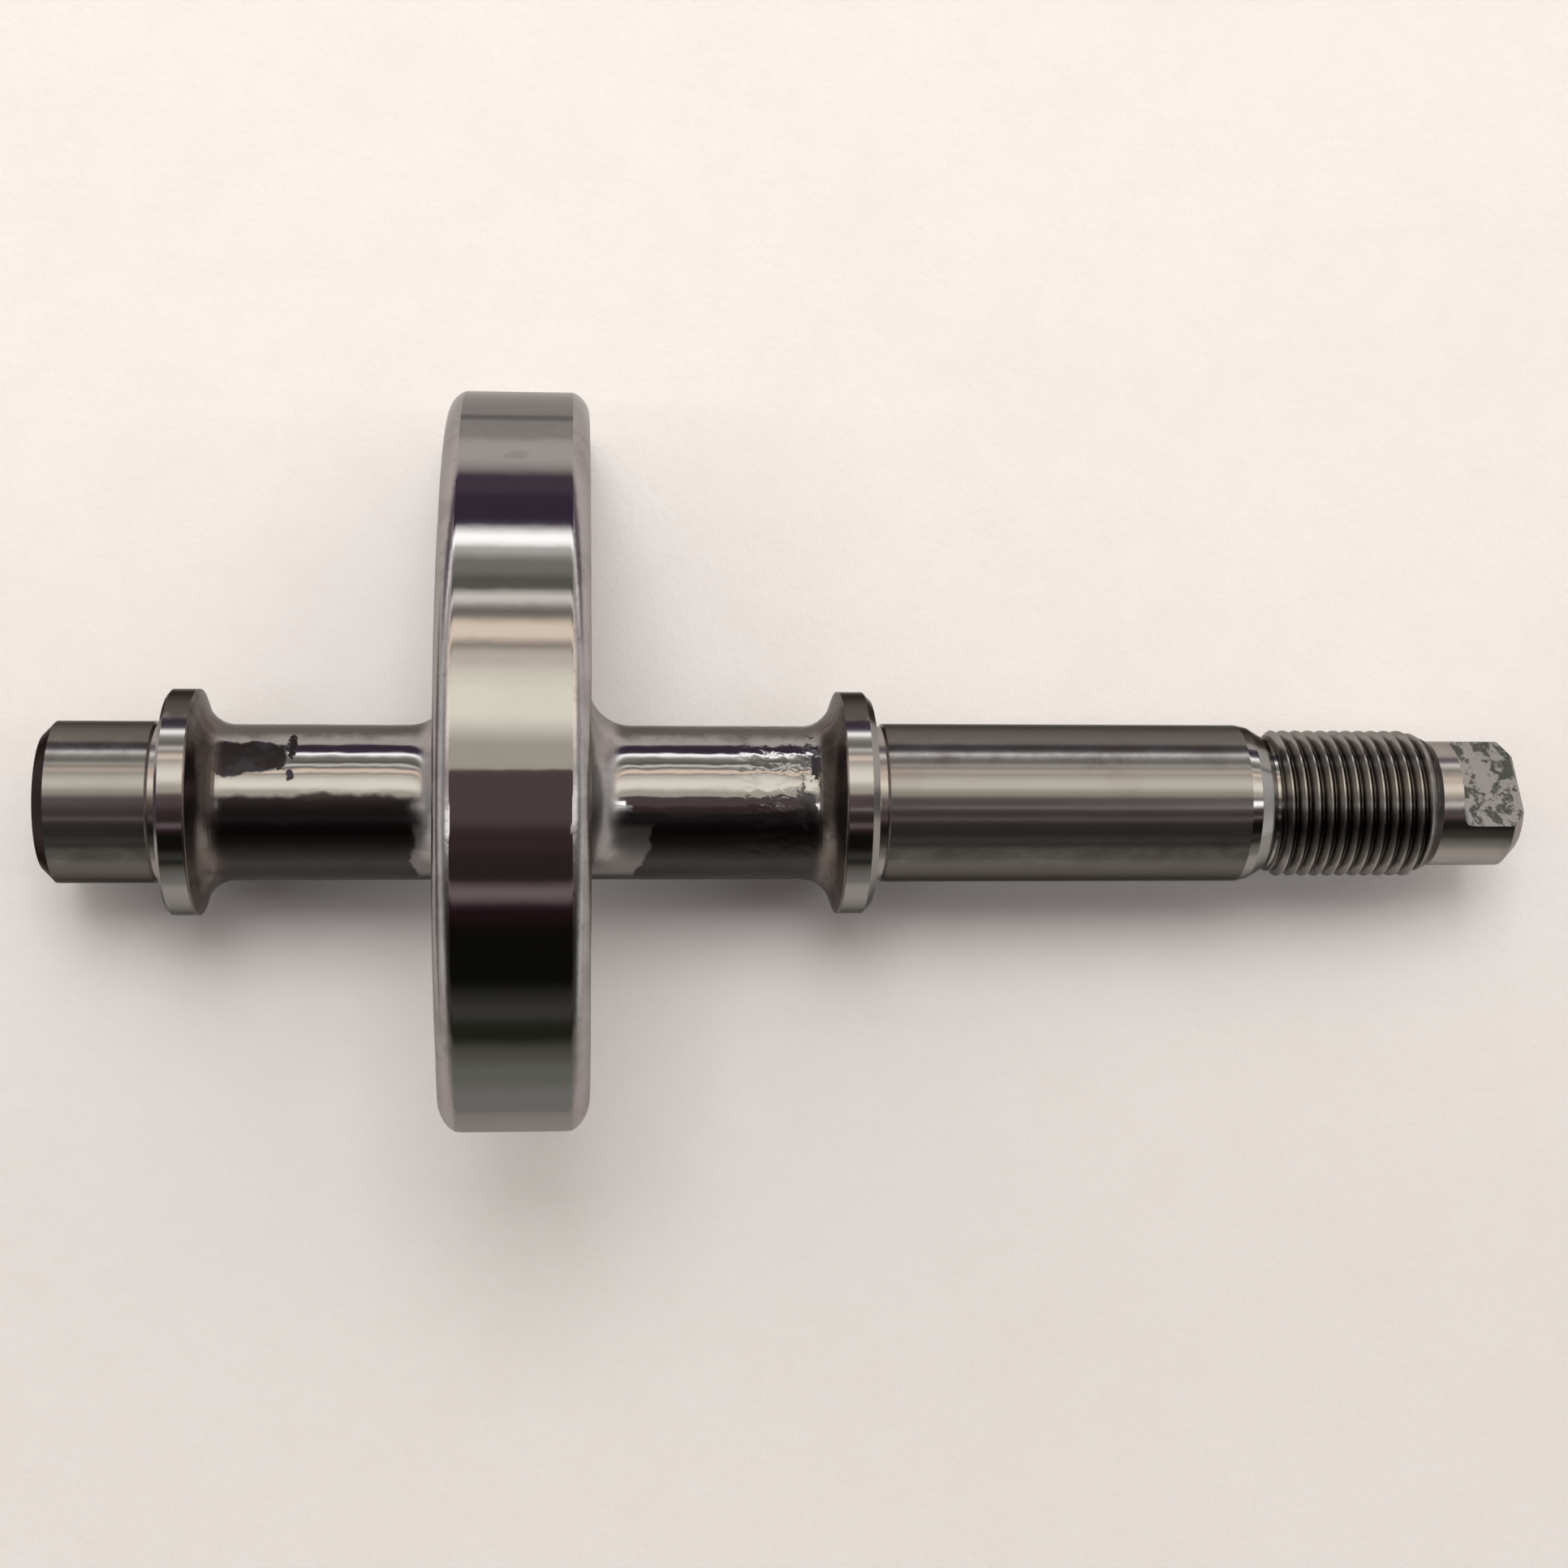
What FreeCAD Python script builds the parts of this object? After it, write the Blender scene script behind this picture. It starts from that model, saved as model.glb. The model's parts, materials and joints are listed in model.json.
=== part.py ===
"""Balance shaft: one steel forging, turned and ground at its seats.

The shaft lies along X. The origin is on its axis, at the inner end of the short
bearing seat. +X runs along the shaft to its threaded end, +Z is up, and +Y is to
the side on which the weight's rim touches the surface that the shaft lies on.
"""
import FreeCAD
import Part
import math
import os

import Sketcher

NODE = "balance_shaft"

# Driving sizes, in millimetres and degrees
SIZES = [
    ("journal_diameter", 15.0, "both ground bearing seats"),
    ("short_seat_length", 8.9, "ground length of the short seat"),
    ("short_end_chamfer", 1.15, "chamfer at the short end"),
    ("undercut_width", 1.3, "grinding undercut beside each collar"),
    ("undercut_depth", 0.25, "grinding undercut, on the radius"),
    ("undercut_round", 0.4, "tool's corner in the undercuts, at the shoulders"),
    ("collar_diameter", 21.0, "turned land of both collars"),
    ("short_collar_land", 2.7, "land of the collar at the short seat"),
    ("long_collar_land", 3.1, "land of the collar at the long seat"),
    ("short_collar_chamfer", 0.3, "bearing side of the short seat's collar"),
    ("long_collar_chamfer", 0.7, "bearing side of the long seat's collar"),
    ("flank_draft", 20.0, "lean of the forged collar flanks"),
    ("flank_round", 0.4, "forged edge between land and flank"),
    ("flank_fillet", 3.0, "forged fillet between flank and neck"),
    ("neck_diameter", 14.5, "as-forged necks"),
    ("shoulder_spacing", 64.85, "from one bearing shoulder to the other"),
    ("weight_place", 25.8, "from the short shoulder to the weight"),
    ("weight_width", 12.6, "weight along the shaft"),
    ("weight_radius", 38.0, "turned rim of the weight"),
    ("weight_turning", 0.12, "depth turned off the forged rim"),
    ("weight_span", 151.4, "angle between the weight's two radial sides"),
    ("weight_edge_round", 2.2, "forged edges of the weight"),
    ("weight_root_fillet", 4.0, "forged fillet between weight and neck"),
    ("long_seat_length", 34.05, "ground length of the long seat"),
    ("lead_length", 1.0, "lead-in taper at the end of the long seat"),
    ("lead_diameter", 14.6, "small end of the lead-in taper"),
    ("relief_diameter", 12.6, "thread relief"),
    ("relief_width", 0.3, "flat bottom of the thread relief"),
    ("relief_angle", 30.0, "slope from the seat down to the relief"),
    ("thread_diameter", 14.0, "major diameter of the thread"),
    ("thread_length", 13.1, "full thread"),
    ("thread_pitch", 1.25, "from one turn of the thread to the next"),
    ("thread_angle", 60.0, "between the two sides of a turn"),
    ("thread_taper", 26.0, "slope at the thread's far end"),
    ("end_diameter", 12.0, "plain end past the thread"),
    ("end_length", 8.25, "plain end past the thread, with its chamfer"),
    ("end_chamfer", 1.2, "chamfer at the plain end"),
    ("tongue_length", 6.3, "milled flats, from the end"),
    ("tongue_thickness", 7.5, "across the two milled flats"),
    ("tongue_root_round", 1.0, "cutter's corner at the flats' root"),
    ("centre_mouth", 5.3, "mouth of the centre holes"),
    ("centre_pilot", 2.5, "pilot of the centre holes"),
    ("centre_depth", 5.6, "full depth of the centre holes"),
    ("centre_angle", 60.0, "included angle of the centre holes"),
]


def value(expression):
    """Number that an expression on the sheet gives, in mm or degrees."""
    result = sheet.evalExpression(expression)
    return float(getattr(result, "Value", result))


def origin_feature(role):
    """Origin plane or axis of the body, by its role."""
    for feature in body.Origin.OriginFeatures:
        if feature.Role == role:
            return feature
    raise RuntimeError("no origin feature " + role)


def new_sketch(name, role):
    """Empty sketch on one of the body's origin planes."""
    sketch = body.newObject("Sketcher::SketchObject", name)
    sketch.AttachmentSupport = [(origin_feature(role), "")]
    sketch.MapMode = "FlatFace"
    return sketch


def bind(sketch, constraint, name, expression):
    """Add a constraint and tie its value to the sheet."""
    index = sketch.addConstraint(constraint)
    sketch.renameConstraint(index, name)
    sketch.setExpression("Constraints." + name, expression)


def place_point(sketch, line, end, name, across, up):
    """Tie one end of a line to a place given by two expressions; up is None on the axis."""
    bind(sketch, Sketcher.Constraint("DistanceX", -1, 1, line, end, value(across)), name + "_x", across)
    if up is None:
        sketch.addConstraint(Sketcher.Constraint("PointOnObject", line, end, -1))
    else:
        bind(sketch, Sketcher.Constraint("DistanceY", -1, 1, line, end, value(up)), name + "_y", up)


def polygon(sketch, corners):
    """Closed outline through named corners, each (name, across, up)."""
    places = [FreeCAD.Vector(value(across), value(up) if up else 0.0, 0.0) for _, across, up in corners]
    for start, end in zip(places, places[1:] + places[:1]):
        sketch.addGeometry(Part.LineSegment(start, end), False)
    count = len(corners)
    for line in range(count):
        sketch.addConstraint(Sketcher.Constraint("Coincident", line, 2, (line + 1) % count, 1))
    for line, (name, across, up) in enumerate(corners):
        place_point(sketch, line, 1, name, across, up)


def point(across, up):
    """Point of a sketch."""
    return FreeCAD.Vector(across, up, 0.0)


def add_lines(sketch, lines):
    """Add straight lines, each (start, end)."""
    for start, end in lines:
        sketch.addGeometry(Part.LineSegment(start, end), False)


def add_arc(sketch, centre, radius, start, end):
    """Add an arc between two angles."""
    circle = Part.Circle(centre, FreeCAD.Vector(0.0, 0.0, 1.0), radius)
    sketch.addGeometry(Part.ArcOfCircle(circle, start, end), False)


def edges_where(shape, test):
    """Names of the edges that a test picks."""
    return ["Edge%d" % (number + 1) for number, edge in enumerate(shape.Edges) if test(edge)]


def is_circle_at(edge, across, radius):
    """True for an edge round the shaft's axis at one place and radius."""
    curve = edge.Curve
    if not isinstance(curve, Part.Circle):
        return False
    on_axis = math.hypot(curve.Center.y, curve.Center.z) < TOUCH
    return on_axis and abs(curve.Center.x - across) < TOUCH and abs(curve.Radius - radius) < TOUCH


def edges_round_axis(shape, places, radius):
    """Names of the edges round the shaft's axis at some places and one radius."""
    return edges_where(shape, lambda edge: any(is_circle_at(edge, place, radius) for place in places))


def add_fillet(name, base, names, radius):
    """Round the named edges of a feature."""
    if not names:
        raise RuntimeError("no edge for " + name)
    fillet = body.newObject("PartDesign::Fillet", name)
    fillet.Base = (base, names)
    fillet.Radius = value(radius)
    fillet.setExpression("Radius", radius)
    doc.recompute()
    return fillet


def check_cut(before, after, what):
    """Stop if a cut took nothing away."""
    if after.Shape.Volume >= before.Shape.Volume - TOUCH:
        raise RuntimeError(what + " cut nothing")


TOUCH = 1e-4
FULL_TURN = 360.0
ALONG_X = FreeCAD.Vector(1.0, 0.0, 0.0)

doc = FreeCAD.newDocument("BalanceShaft")
sheet = doc.addObject("Spreadsheet::Sheet", "sizes")
for row, (alias, number, note) in enumerate(SIZES, start=1):
    sheet.set("A%d" % row, alias)
    sheet.set("B%d" % row, repr(number))
    sheet.set("C%d" % row, note)
    sheet.setAlias("B%d" % row, alias)
doc.recompute()

body = doc.addObject("PartDesign::Body", NODE)
body.Label = NODE

# Places along the shaft, as expressions on the sheet
SHORT_SHOULDER = "sizes.undercut_width"
SHORT_END = "-sizes.short_seat_length - sizes.short_end_chamfer"
LONG_SHOULDER = SHORT_SHOULDER + " + sizes.shoulder_spacing"
WEIGHT_START = SHORT_SHOULDER + " + sizes.weight_place"
WEIGHT_END = WEIGHT_START + " + sizes.weight_width"
FLANK_RUN = "(sizes.collar_diameter - sizes.neck_diameter) / 2 * tan(sizes.flank_draft)"
LONG_SEAT = LONG_SHOULDER + " + sizes.undercut_width"
LEAD_START = LONG_SEAT + " + sizes.long_seat_length"
LEAD_END = LEAD_START + " + sizes.lead_length"
RELIEF_START = LEAD_END + " + (sizes.lead_diameter - sizes.relief_diameter) / 2 / tan(sizes.relief_angle)"
RELIEF_END = RELIEF_START + " + sizes.relief_width"
THREAD_START = RELIEF_END + " + (sizes.thread_diameter - sizes.relief_diameter) / 2"
THREAD_END = THREAD_START + " + sizes.thread_length"
PLAIN_START = THREAD_END + " + (sizes.thread_diameter - sizes.end_diameter) / 2 / tan(sizes.thread_taper)"
LONG_END = PLAIN_START + " + sizes.end_length"
CONE_DEPTH = "(sizes.centre_mouth - sizes.centre_pilot) / 2 / tan(sizes.centre_angle / 2)"
PILOT_TIP = "sizes.centre_pilot / 2 / tan(sizes.centre_angle)"

# Radii, as expressions on the sheet
JOURNAL = "sizes.journal_diameter / 2"
UNDERCUT = JOURNAL + " - sizes.undercut_depth"
COLLAR = "sizes.collar_diameter / 2"
NECK = "sizes.neck_diameter / 2"
THREAD = "sizes.thread_diameter / 2"
CREST_FLAT = "sizes.thread_pitch / 8"
ROOT_FLAT = "sizes.thread_pitch / 4"
TURN_SIDE = "(sizes.thread_pitch * 5 / 16)"
THREAD_ROOT = THREAD + " - " + TURN_SIDE + " / tan(sizes.thread_angle / 2)"
PLAIN_END = "sizes.end_diameter / 2"
MOUTH = "sizes.centre_mouth / 2"
PILOT = "sizes.centre_pilot / 2"
HUB = "sizes.neck_diameter / 4"
EDGE_ROUND = "sizes.weight_edge_round"
ROUND_HEIGHT = "sizes.weight_radius + sizes.weight_turning - sizes.weight_edge_round"
CUT_DEPTH = "sizes.weight_radius + sizes.weight_width"

# The rim's first corner lies as low as the collars, so that the shaft rests on all three
FIRST_SIDE = "-asin(sizes.collar_diameter / 2 / sizes.weight_radius)"
SECOND_SIDE = FIRST_SIDE + " + sizes.weight_span * 1 deg"
WEIGHT_MIDDLE = FIRST_SIDE + " + sizes.weight_span * 0.5 deg"

# Weight: the turned section of its rim, as a disc, cut down to a sector
near = value(WEIGHT_START)
far = value(WEIGHT_END)
edge_round = value(EDGE_ROUND)
rim = value("sizes.weight_radius")
inner = value(HUB)
round_height = value(ROUND_HEIGHT)
rise = math.asin((rim - round_height) / edge_round)
reach = edge_round * math.cos(rise)
near_centre = point(near + edge_round, round_height)
far_centre = point(far - edge_round, round_height)
rim_section = new_sketch("rim_section", "XZ_Plane")
add_lines(rim_section, [
    (point(near, inner), point(far, inner)),
    (point(far, inner), point(far, round_height)),
])
add_arc(rim_section, far_centre, edge_round, 0.0, rise)
add_lines(rim_section, [(point(far_centre.x + reach, rim), point(near_centre.x - reach, rim))])
add_arc(rim_section, near_centre, edge_round, math.pi - rise, math.pi)
add_lines(rim_section, [(point(near, round_height), point(near, inner))])
rim_section.addConstraint([
    Sketcher.Constraint("Coincident", 0, 2, 1, 1),
    Sketcher.Constraint("Tangent", 1, 2, 2, 1),
    Sketcher.Constraint("Coincident", 2, 2, 3, 1),
    Sketcher.Constraint("Coincident", 3, 2, 4, 1),
    Sketcher.Constraint("Tangent", 4, 2, 5, 1),
    Sketcher.Constraint("Coincident", 5, 2, 0, 1),
    Sketcher.Constraint("Horizontal", 0),
    Sketcher.Constraint("Vertical", 1),
    Sketcher.Constraint("Horizontal", 3),
    Sketcher.Constraint("Vertical", 5),
])
bind(rim_section, Sketcher.Constraint("Radius", 2, edge_round), "far_round", EDGE_ROUND)
bind(rim_section, Sketcher.Constraint("Radius", 4, edge_round), "near_round", EDGE_ROUND)
bind(rim_section, Sketcher.Constraint("DistanceX", -1, 1, 0, 1, near), "near_side", WEIGHT_START)
bind(rim_section, Sketcher.Constraint("DistanceX", -1, 1, 0, 2, far), "far_side", WEIGHT_END)
bind(rim_section, Sketcher.Constraint("DistanceY", -1, 1, 0, 1, inner), "hub", HUB)
bind(rim_section, Sketcher.Constraint("DistanceY", -1, 1, 3, 1, rim), "rim", "sizes.weight_radius")
bind(rim_section, Sketcher.Constraint("DistanceY", -1, 1, 2, 3, round_height), "far_height", ROUND_HEIGHT)
bind(rim_section, Sketcher.Constraint("DistanceY", -1, 1, 4, 3, round_height), "near_height", ROUND_HEIGHT)
doc.recompute()

disc = body.newObject("PartDesign::Revolution", "weight_disc")
disc.Profile = rim_section
disc.ReferenceAxis = (rim_section, ["H_Axis"])
disc.Angle = FULL_TURN
doc.recompute()


def cut_side(name, base, turn):
    """Cut the disc back to one radial side, with forged rounds along both of its edges."""
    side = new_sketch(name + "_outline", "XY_Plane")
    side.AttachmentOffset = FreeCAD.Placement(FreeCAD.Vector(), FreeCAD.Rotation(ALONG_X, value(turn)))
    side.setExpression("AttachmentOffset.Rotation.Angle", turn)
    low = -value(CUT_DEPTH)
    margin = edge_round
    add_lines(side, [
        (point(near - margin, low), point(far + margin, low)),
        (point(far + margin, low), point(far + margin, edge_round)),
        (point(far + margin, edge_round), point(far, edge_round)),
    ])
    add_arc(side, point(far - edge_round, edge_round), edge_round, -math.pi / 2, 0.0)
    add_lines(side, [(point(far - edge_round, 0.0), point(near + edge_round, 0.0))])
    add_arc(side, point(near + edge_round, edge_round), edge_round, math.pi, 1.5 * math.pi)
    add_lines(side, [
        (point(near, edge_round), point(near - margin, edge_round)),
        (point(near - margin, edge_round), point(near - margin, low)),
    ])
    side.addConstraint([
        Sketcher.Constraint("Coincident", 0, 2, 1, 1),
        Sketcher.Constraint("Coincident", 1, 2, 2, 1),
        Sketcher.Constraint("Coincident", 2, 2, 3, 2),
        Sketcher.Constraint("Tangent", 3, 1, 4, 1),
        Sketcher.Constraint("Tangent", 4, 2, 5, 2),
        Sketcher.Constraint("Coincident", 5, 1, 6, 1),
        Sketcher.Constraint("Coincident", 6, 2, 7, 1),
        Sketcher.Constraint("Coincident", 7, 2, 0, 1),
        Sketcher.Constraint("Horizontal", 0),
        Sketcher.Constraint("Vertical", 1),
        Sketcher.Constraint("Horizontal", 2),
        Sketcher.Constraint("Horizontal", 3, 3, 3, 2),
        Sketcher.Constraint("PointOnObject", 4, 1, -1),
        Sketcher.Constraint("PointOnObject", 4, 2, -1),
        Sketcher.Constraint("Horizontal", 5, 3, 5, 1),
        Sketcher.Constraint("Horizontal", 6),
        Sketcher.Constraint("Vertical", 7),
    ])
    near_margin, far_margin = WEIGHT_START + " - " + EDGE_ROUND, WEIGHT_END + " + " + EDGE_ROUND
    bind(side, Sketcher.Constraint("Radius", 3, edge_round), "far_round", EDGE_ROUND)
    bind(side, Sketcher.Constraint("Radius", 5, edge_round), "near_round", EDGE_ROUND)
    bind(side, Sketcher.Constraint("DistanceX", -1, 1, 3, 2, far), "far_side", WEIGHT_END)
    bind(side, Sketcher.Constraint("DistanceX", -1, 1, 5, 1, near), "near_side", WEIGHT_START)
    bind(side, Sketcher.Constraint("DistanceX", -1, 1, 0, 1, near - margin), "near_margin", near_margin)
    bind(side, Sketcher.Constraint("DistanceX", -1, 1, 0, 2, far + margin), "far_margin", far_margin)
    bind(side, Sketcher.Constraint("DistanceY", 0, 1, -1, 1, -low), "depth", CUT_DEPTH)
    doc.recompute()
    pocket = body.newObject("PartDesign::Pocket", name)
    pocket.Profile = side
    pocket.Midplane = True
    pocket.Length = 2.0 * value(CUT_DEPTH)
    pocket.setExpression("Length", "2 * (" + CUT_DEPTH + ")")
    doc.recompute()
    check_cut(base, pocket, name)
    return pocket


first_side = cut_side("first_side", disc, FIRST_SIDE + " + 90 deg")
second_side = cut_side("second_side", first_side, SECOND_SIDE + " - 90 deg")


def thread_rings():
    """Corners of the grooves between the thread's turns, which are rings side by side."""
    corners = []
    rings = int(value("(sizes.thread_length - " + CREST_FLAT + ") / sizes.thread_pitch"))
    for ring in range(rings):
        start = THREAD_START + " + " + str(ring) + " * sizes.thread_pitch + " + CREST_FLAT
        foot = start + " + " + TURN_SIDE
        rise = foot + " + " + ROOT_FLAT
        name = "groove_" + str(ring)
        corners.append((name + "_start", start, THREAD))
        corners.append((name + "_foot", foot, THREAD_ROOT))
        corners.append((name + "_rise", rise, THREAD_ROOT))
        corners.append((name + "_end", rise + " + " + TURN_SIDE, THREAD))
    return corners


# Turned section of the whole shaft, with its thread and its centre holes
section = new_sketch("shaft_section", "XZ_Plane")
to_thread = [
    ("short_centre_tip", SHORT_END + " + sizes.centre_depth", None),
    ("short_pilot_end", SHORT_END + " + sizes.centre_depth - " + PILOT_TIP, PILOT),
    ("short_cone_end", SHORT_END + " + " + CONE_DEPTH, PILOT),
    ("short_mouth", SHORT_END, MOUTH),
    ("short_face", SHORT_END, JOURNAL + " - sizes.short_end_chamfer"),
    ("short_seat_start", "-sizes.short_seat_length", JOURNAL),
    ("short_seat_end", "0", JOURNAL),
    ("short_undercut", "sizes.undercut_depth", UNDERCUT),
    ("short_undercut_end", SHORT_SHOULDER, UNDERCUT),
    ("short_shoulder", SHORT_SHOULDER, COLLAR + " - sizes.short_collar_chamfer"),
    ("short_land_start", SHORT_SHOULDER + " + sizes.short_collar_chamfer", COLLAR),
    ("short_land_end", SHORT_SHOULDER + " + sizes.short_collar_land", COLLAR),
    ("short_flank_foot", SHORT_SHOULDER + " + sizes.short_collar_land + " + FLANK_RUN, NECK),
    ("long_flank_foot", LONG_SHOULDER + " - sizes.long_collar_land - " + FLANK_RUN, NECK),
    ("long_land_start", LONG_SHOULDER + " - sizes.long_collar_land", COLLAR),
    ("long_land_end", LONG_SHOULDER + " - sizes.long_collar_chamfer", COLLAR),
    ("long_shoulder", LONG_SHOULDER, COLLAR + " - sizes.long_collar_chamfer"),
    ("long_undercut", LONG_SHOULDER, UNDERCUT),
    ("long_undercut_end", LONG_SEAT + " - sizes.undercut_depth", UNDERCUT),
    ("long_seat_start", LONG_SEAT, JOURNAL),
    ("long_seat_end", LEAD_START, JOURNAL),
    ("lead_end", LEAD_END, "sizes.lead_diameter / 2"),
    ("relief_start", RELIEF_START, "sizes.relief_diameter / 2"),
    ("relief_end", RELIEF_END, "sizes.relief_diameter / 2"),
    ("thread_start", THREAD_START, THREAD),
]
past_thread = [
    ("thread_end", THREAD_END, THREAD),
    ("plain_start", PLAIN_START, PLAIN_END),
    ("plain_end", LONG_END + " - sizes.end_chamfer", PLAIN_END),
    ("long_face", LONG_END, PLAIN_END + " - sizes.end_chamfer"),
    ("long_mouth", LONG_END, MOUTH),
    ("long_cone_end", LONG_END + " - " + CONE_DEPTH, PILOT),
    ("long_pilot_end", LONG_END + " - sizes.centre_depth + " + PILOT_TIP, PILOT),
    ("long_centre_tip", LONG_END + " - sizes.centre_depth", None),
]
polygon(section, to_thread + thread_rings() + past_thread)
doc.recompute()

shaft = body.newObject("PartDesign::Revolution", "turned_shaft")
shaft.Profile = section
shaft.ReferenceAxis = (section, ["H_Axis"])
shaft.Angle = FULL_TURN
doc.recompute()

neck_radius = value(NECK)


def is_weight_root(edge):
    """True for the edges where the weight grows out of the neck."""
    for vertex in edge.Vertexes:
        if abs(math.hypot(vertex.Point.y, vertex.Point.z) - neck_radius) > TOUCH:
            return False
        if not near - TOUCH < vertex.Point.x < far + TOUCH:
            return False
    return True


weight_root = add_fillet(
    "weight_root", shaft, edges_where(shaft.Shape, is_weight_root), "sizes.weight_root_fillet")

# Forged flanks of the collars
short_land_end = value(SHORT_SHOULDER + " + sizes.short_collar_land")
long_land_end = value(LONG_SHOULDER + " - sizes.long_collar_land")
flank_run = value(FLANK_RUN)
flank_feet = (short_land_end + flank_run, long_land_end - flank_run)
flank_fillets = add_fillet(
    "flank_fillets", weight_root, edges_round_axis(weight_root.Shape, flank_feet, neck_radius),
    "sizes.flank_fillet")
land_ends = (short_land_end, long_land_end)
flank_rounds = add_fillet(
    "flank_rounds", flank_fillets, edges_round_axis(flank_fillets.Shape, land_ends, value(COLLAR)),
    "sizes.flank_round")

# Rounded corner of each grinding undercut, against its shoulder
shoulders = (value(SHORT_SHOULDER), value(LONG_SHOULDER))
undercut_corners = add_fillet(
    "undercut_corners", flank_rounds, edges_round_axis(flank_rounds.Shape, shoulders, value(UNDERCUT)),
    "sizes.undercut_round")

# Two milled flats that leave a tongue, square to the weight's middle
FLAT_START = LONG_END + " - sizes.tongue_length"
FLAT_HEIGHT = "sizes.tongue_thickness / 2"
ROOT = "sizes.tongue_root_round"
flat_start = value(FLAT_START)
flat_end = value(LONG_END)
height = value(FLAT_HEIGHT)
root = value(ROOT)
top = value(THREAD)
flat = new_sketch("flat_cut", "XY_Plane")
flat.AttachmentOffset = FreeCAD.Placement(FreeCAD.Vector(), FreeCAD.Rotation(ALONG_X, value(WEIGHT_MIDDLE)))
flat.setExpression("AttachmentOffset.Rotation.Angle", WEIGHT_MIDDLE)
add_lines(flat, [(point(flat_start, top), point(flat_start, height + root))])
add_arc(flat, point(flat_start + root, height + root), root, math.pi, 1.5 * math.pi)
add_lines(flat, [
    (point(flat_start + root, height), point(flat_end, height)),
    (point(flat_end, height), point(flat_end, top)),
    (point(flat_end, top), point(flat_start, top)),
])
flat.addConstraint([
    Sketcher.Constraint("Tangent", 0, 2, 1, 1),
    Sketcher.Constraint("Tangent", 1, 2, 2, 1),
    Sketcher.Constraint("Coincident", 2, 2, 3, 1),
    Sketcher.Constraint("Coincident", 3, 2, 4, 1),
    Sketcher.Constraint("Coincident", 4, 2, 0, 1),
    Sketcher.Constraint("Vertical", 0),
    Sketcher.Constraint("Horizontal", 2),
    Sketcher.Constraint("Vertical", 3),
    Sketcher.Constraint("Horizontal", 4),
])
bind(flat, Sketcher.Constraint("Radius", 1, root), "root_round", ROOT)
bind(flat, Sketcher.Constraint("DistanceX", -1, 1, 0, 1, flat_start), "flat_start", FLAT_START)
bind(flat, Sketcher.Constraint("DistanceY", -1, 1, 2, 1, height), "flat_height", FLAT_HEIGHT)
bind(flat, Sketcher.Constraint("DistanceX", -1, 1, 3, 1, flat_end), "flat_end", LONG_END)
bind(flat, Sketcher.Constraint("DistanceY", -1, 1, 4, 1, top), "flat_top", THREAD)
doc.recompute()

first_flat = body.newObject("PartDesign::Pocket", "first_flat")
first_flat.Profile = flat
first_flat.Midplane = True
first_flat.Length = value("sizes.thread_diameter")
first_flat.setExpression("Length", "sizes.thread_diameter")
doc.recompute()
check_cut(undercut_corners, first_flat, "the first flat")

both_flats = body.newObject("PartDesign::PolarPattern", "both_flats")
both_flats.Originals = [first_flat]
both_flats.Axis = (origin_feature("X_Axis"), [""])
both_flats.Angle = FULL_TURN
both_flats.Occurrences = 2
body.Tip = both_flats
doc.recompute()
check_cut(first_flat, both_flats, "the second flat")

# Checks, then the file
for item in doc.Objects:
    if "Invalid" in item.State or "Error" in item.State:
        raise RuntimeError("%s is %s" % (item.Name, item.State))
if body.Shape.isNull() or not body.Shape.isValid() or len(body.Shape.Solids) != 1:
    raise RuntimeError(NODE + " has no valid single solid")
os.makedirs("parts", exist_ok=True)
body.Shape.exportStep(os.path.join("parts", NODE + ".step"))
box = body.Shape.optimalBoundingBox()
print("%s: %.1f x %.1f x %.1f mm, lowest %.3f, %.0f mm3" % (
    NODE, box.XLength, box.YLength, box.ZLength, box.ZMin, body.Shape.Volume))
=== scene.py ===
"""Looks of a balance shaft: a steel forging with ground seats, turned lands, a fine thread and a flatted tip.

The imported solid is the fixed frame. One detailed mesh stands for it: the turned lengths and the thread are
made by a turning tree, and the forged middle with its sector weight by a rolling-ball layout of rows and
columns. All lengths here are millimetres until a mesh is written in metres.
"""
from __future__ import annotations

import json
import logging
import math
from dataclasses import dataclass, field
from enum import Enum
from functools import reduce
from typing import Any, Iterable, Sequence

import bmesh
import bpy
import numpy as np
from mathutils import Matrix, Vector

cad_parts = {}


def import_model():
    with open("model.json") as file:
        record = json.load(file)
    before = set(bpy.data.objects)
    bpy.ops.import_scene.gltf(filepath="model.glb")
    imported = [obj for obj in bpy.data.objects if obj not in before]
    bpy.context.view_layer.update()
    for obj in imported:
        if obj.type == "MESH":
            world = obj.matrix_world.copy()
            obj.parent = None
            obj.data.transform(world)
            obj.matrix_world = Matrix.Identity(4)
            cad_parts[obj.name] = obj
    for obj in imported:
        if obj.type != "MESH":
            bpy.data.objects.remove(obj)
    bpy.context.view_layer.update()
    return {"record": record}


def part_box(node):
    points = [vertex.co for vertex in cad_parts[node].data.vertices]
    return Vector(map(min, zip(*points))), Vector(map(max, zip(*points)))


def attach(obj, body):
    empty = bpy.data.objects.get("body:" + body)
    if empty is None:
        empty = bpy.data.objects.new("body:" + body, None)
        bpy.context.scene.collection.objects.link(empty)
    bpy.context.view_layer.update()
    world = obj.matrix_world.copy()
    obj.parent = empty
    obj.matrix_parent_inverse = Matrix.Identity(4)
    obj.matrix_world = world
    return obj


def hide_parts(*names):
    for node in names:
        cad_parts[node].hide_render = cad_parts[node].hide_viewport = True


Colour = tuple[float, float, float]
LOG = logging.getLogger("balance_shaft")
MM = 0.001
NODE = "balance_shaft"
PIECE = "steel_shaft"
COLUMNS = 192
SMOOTH_ANGLE = math.radians(24.0)
WELD = 2e-7
SEAM_WELD = 2e-6
DEGENERATE = 1e-7
LEAST_ROUGHNESS = 0.02


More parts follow.
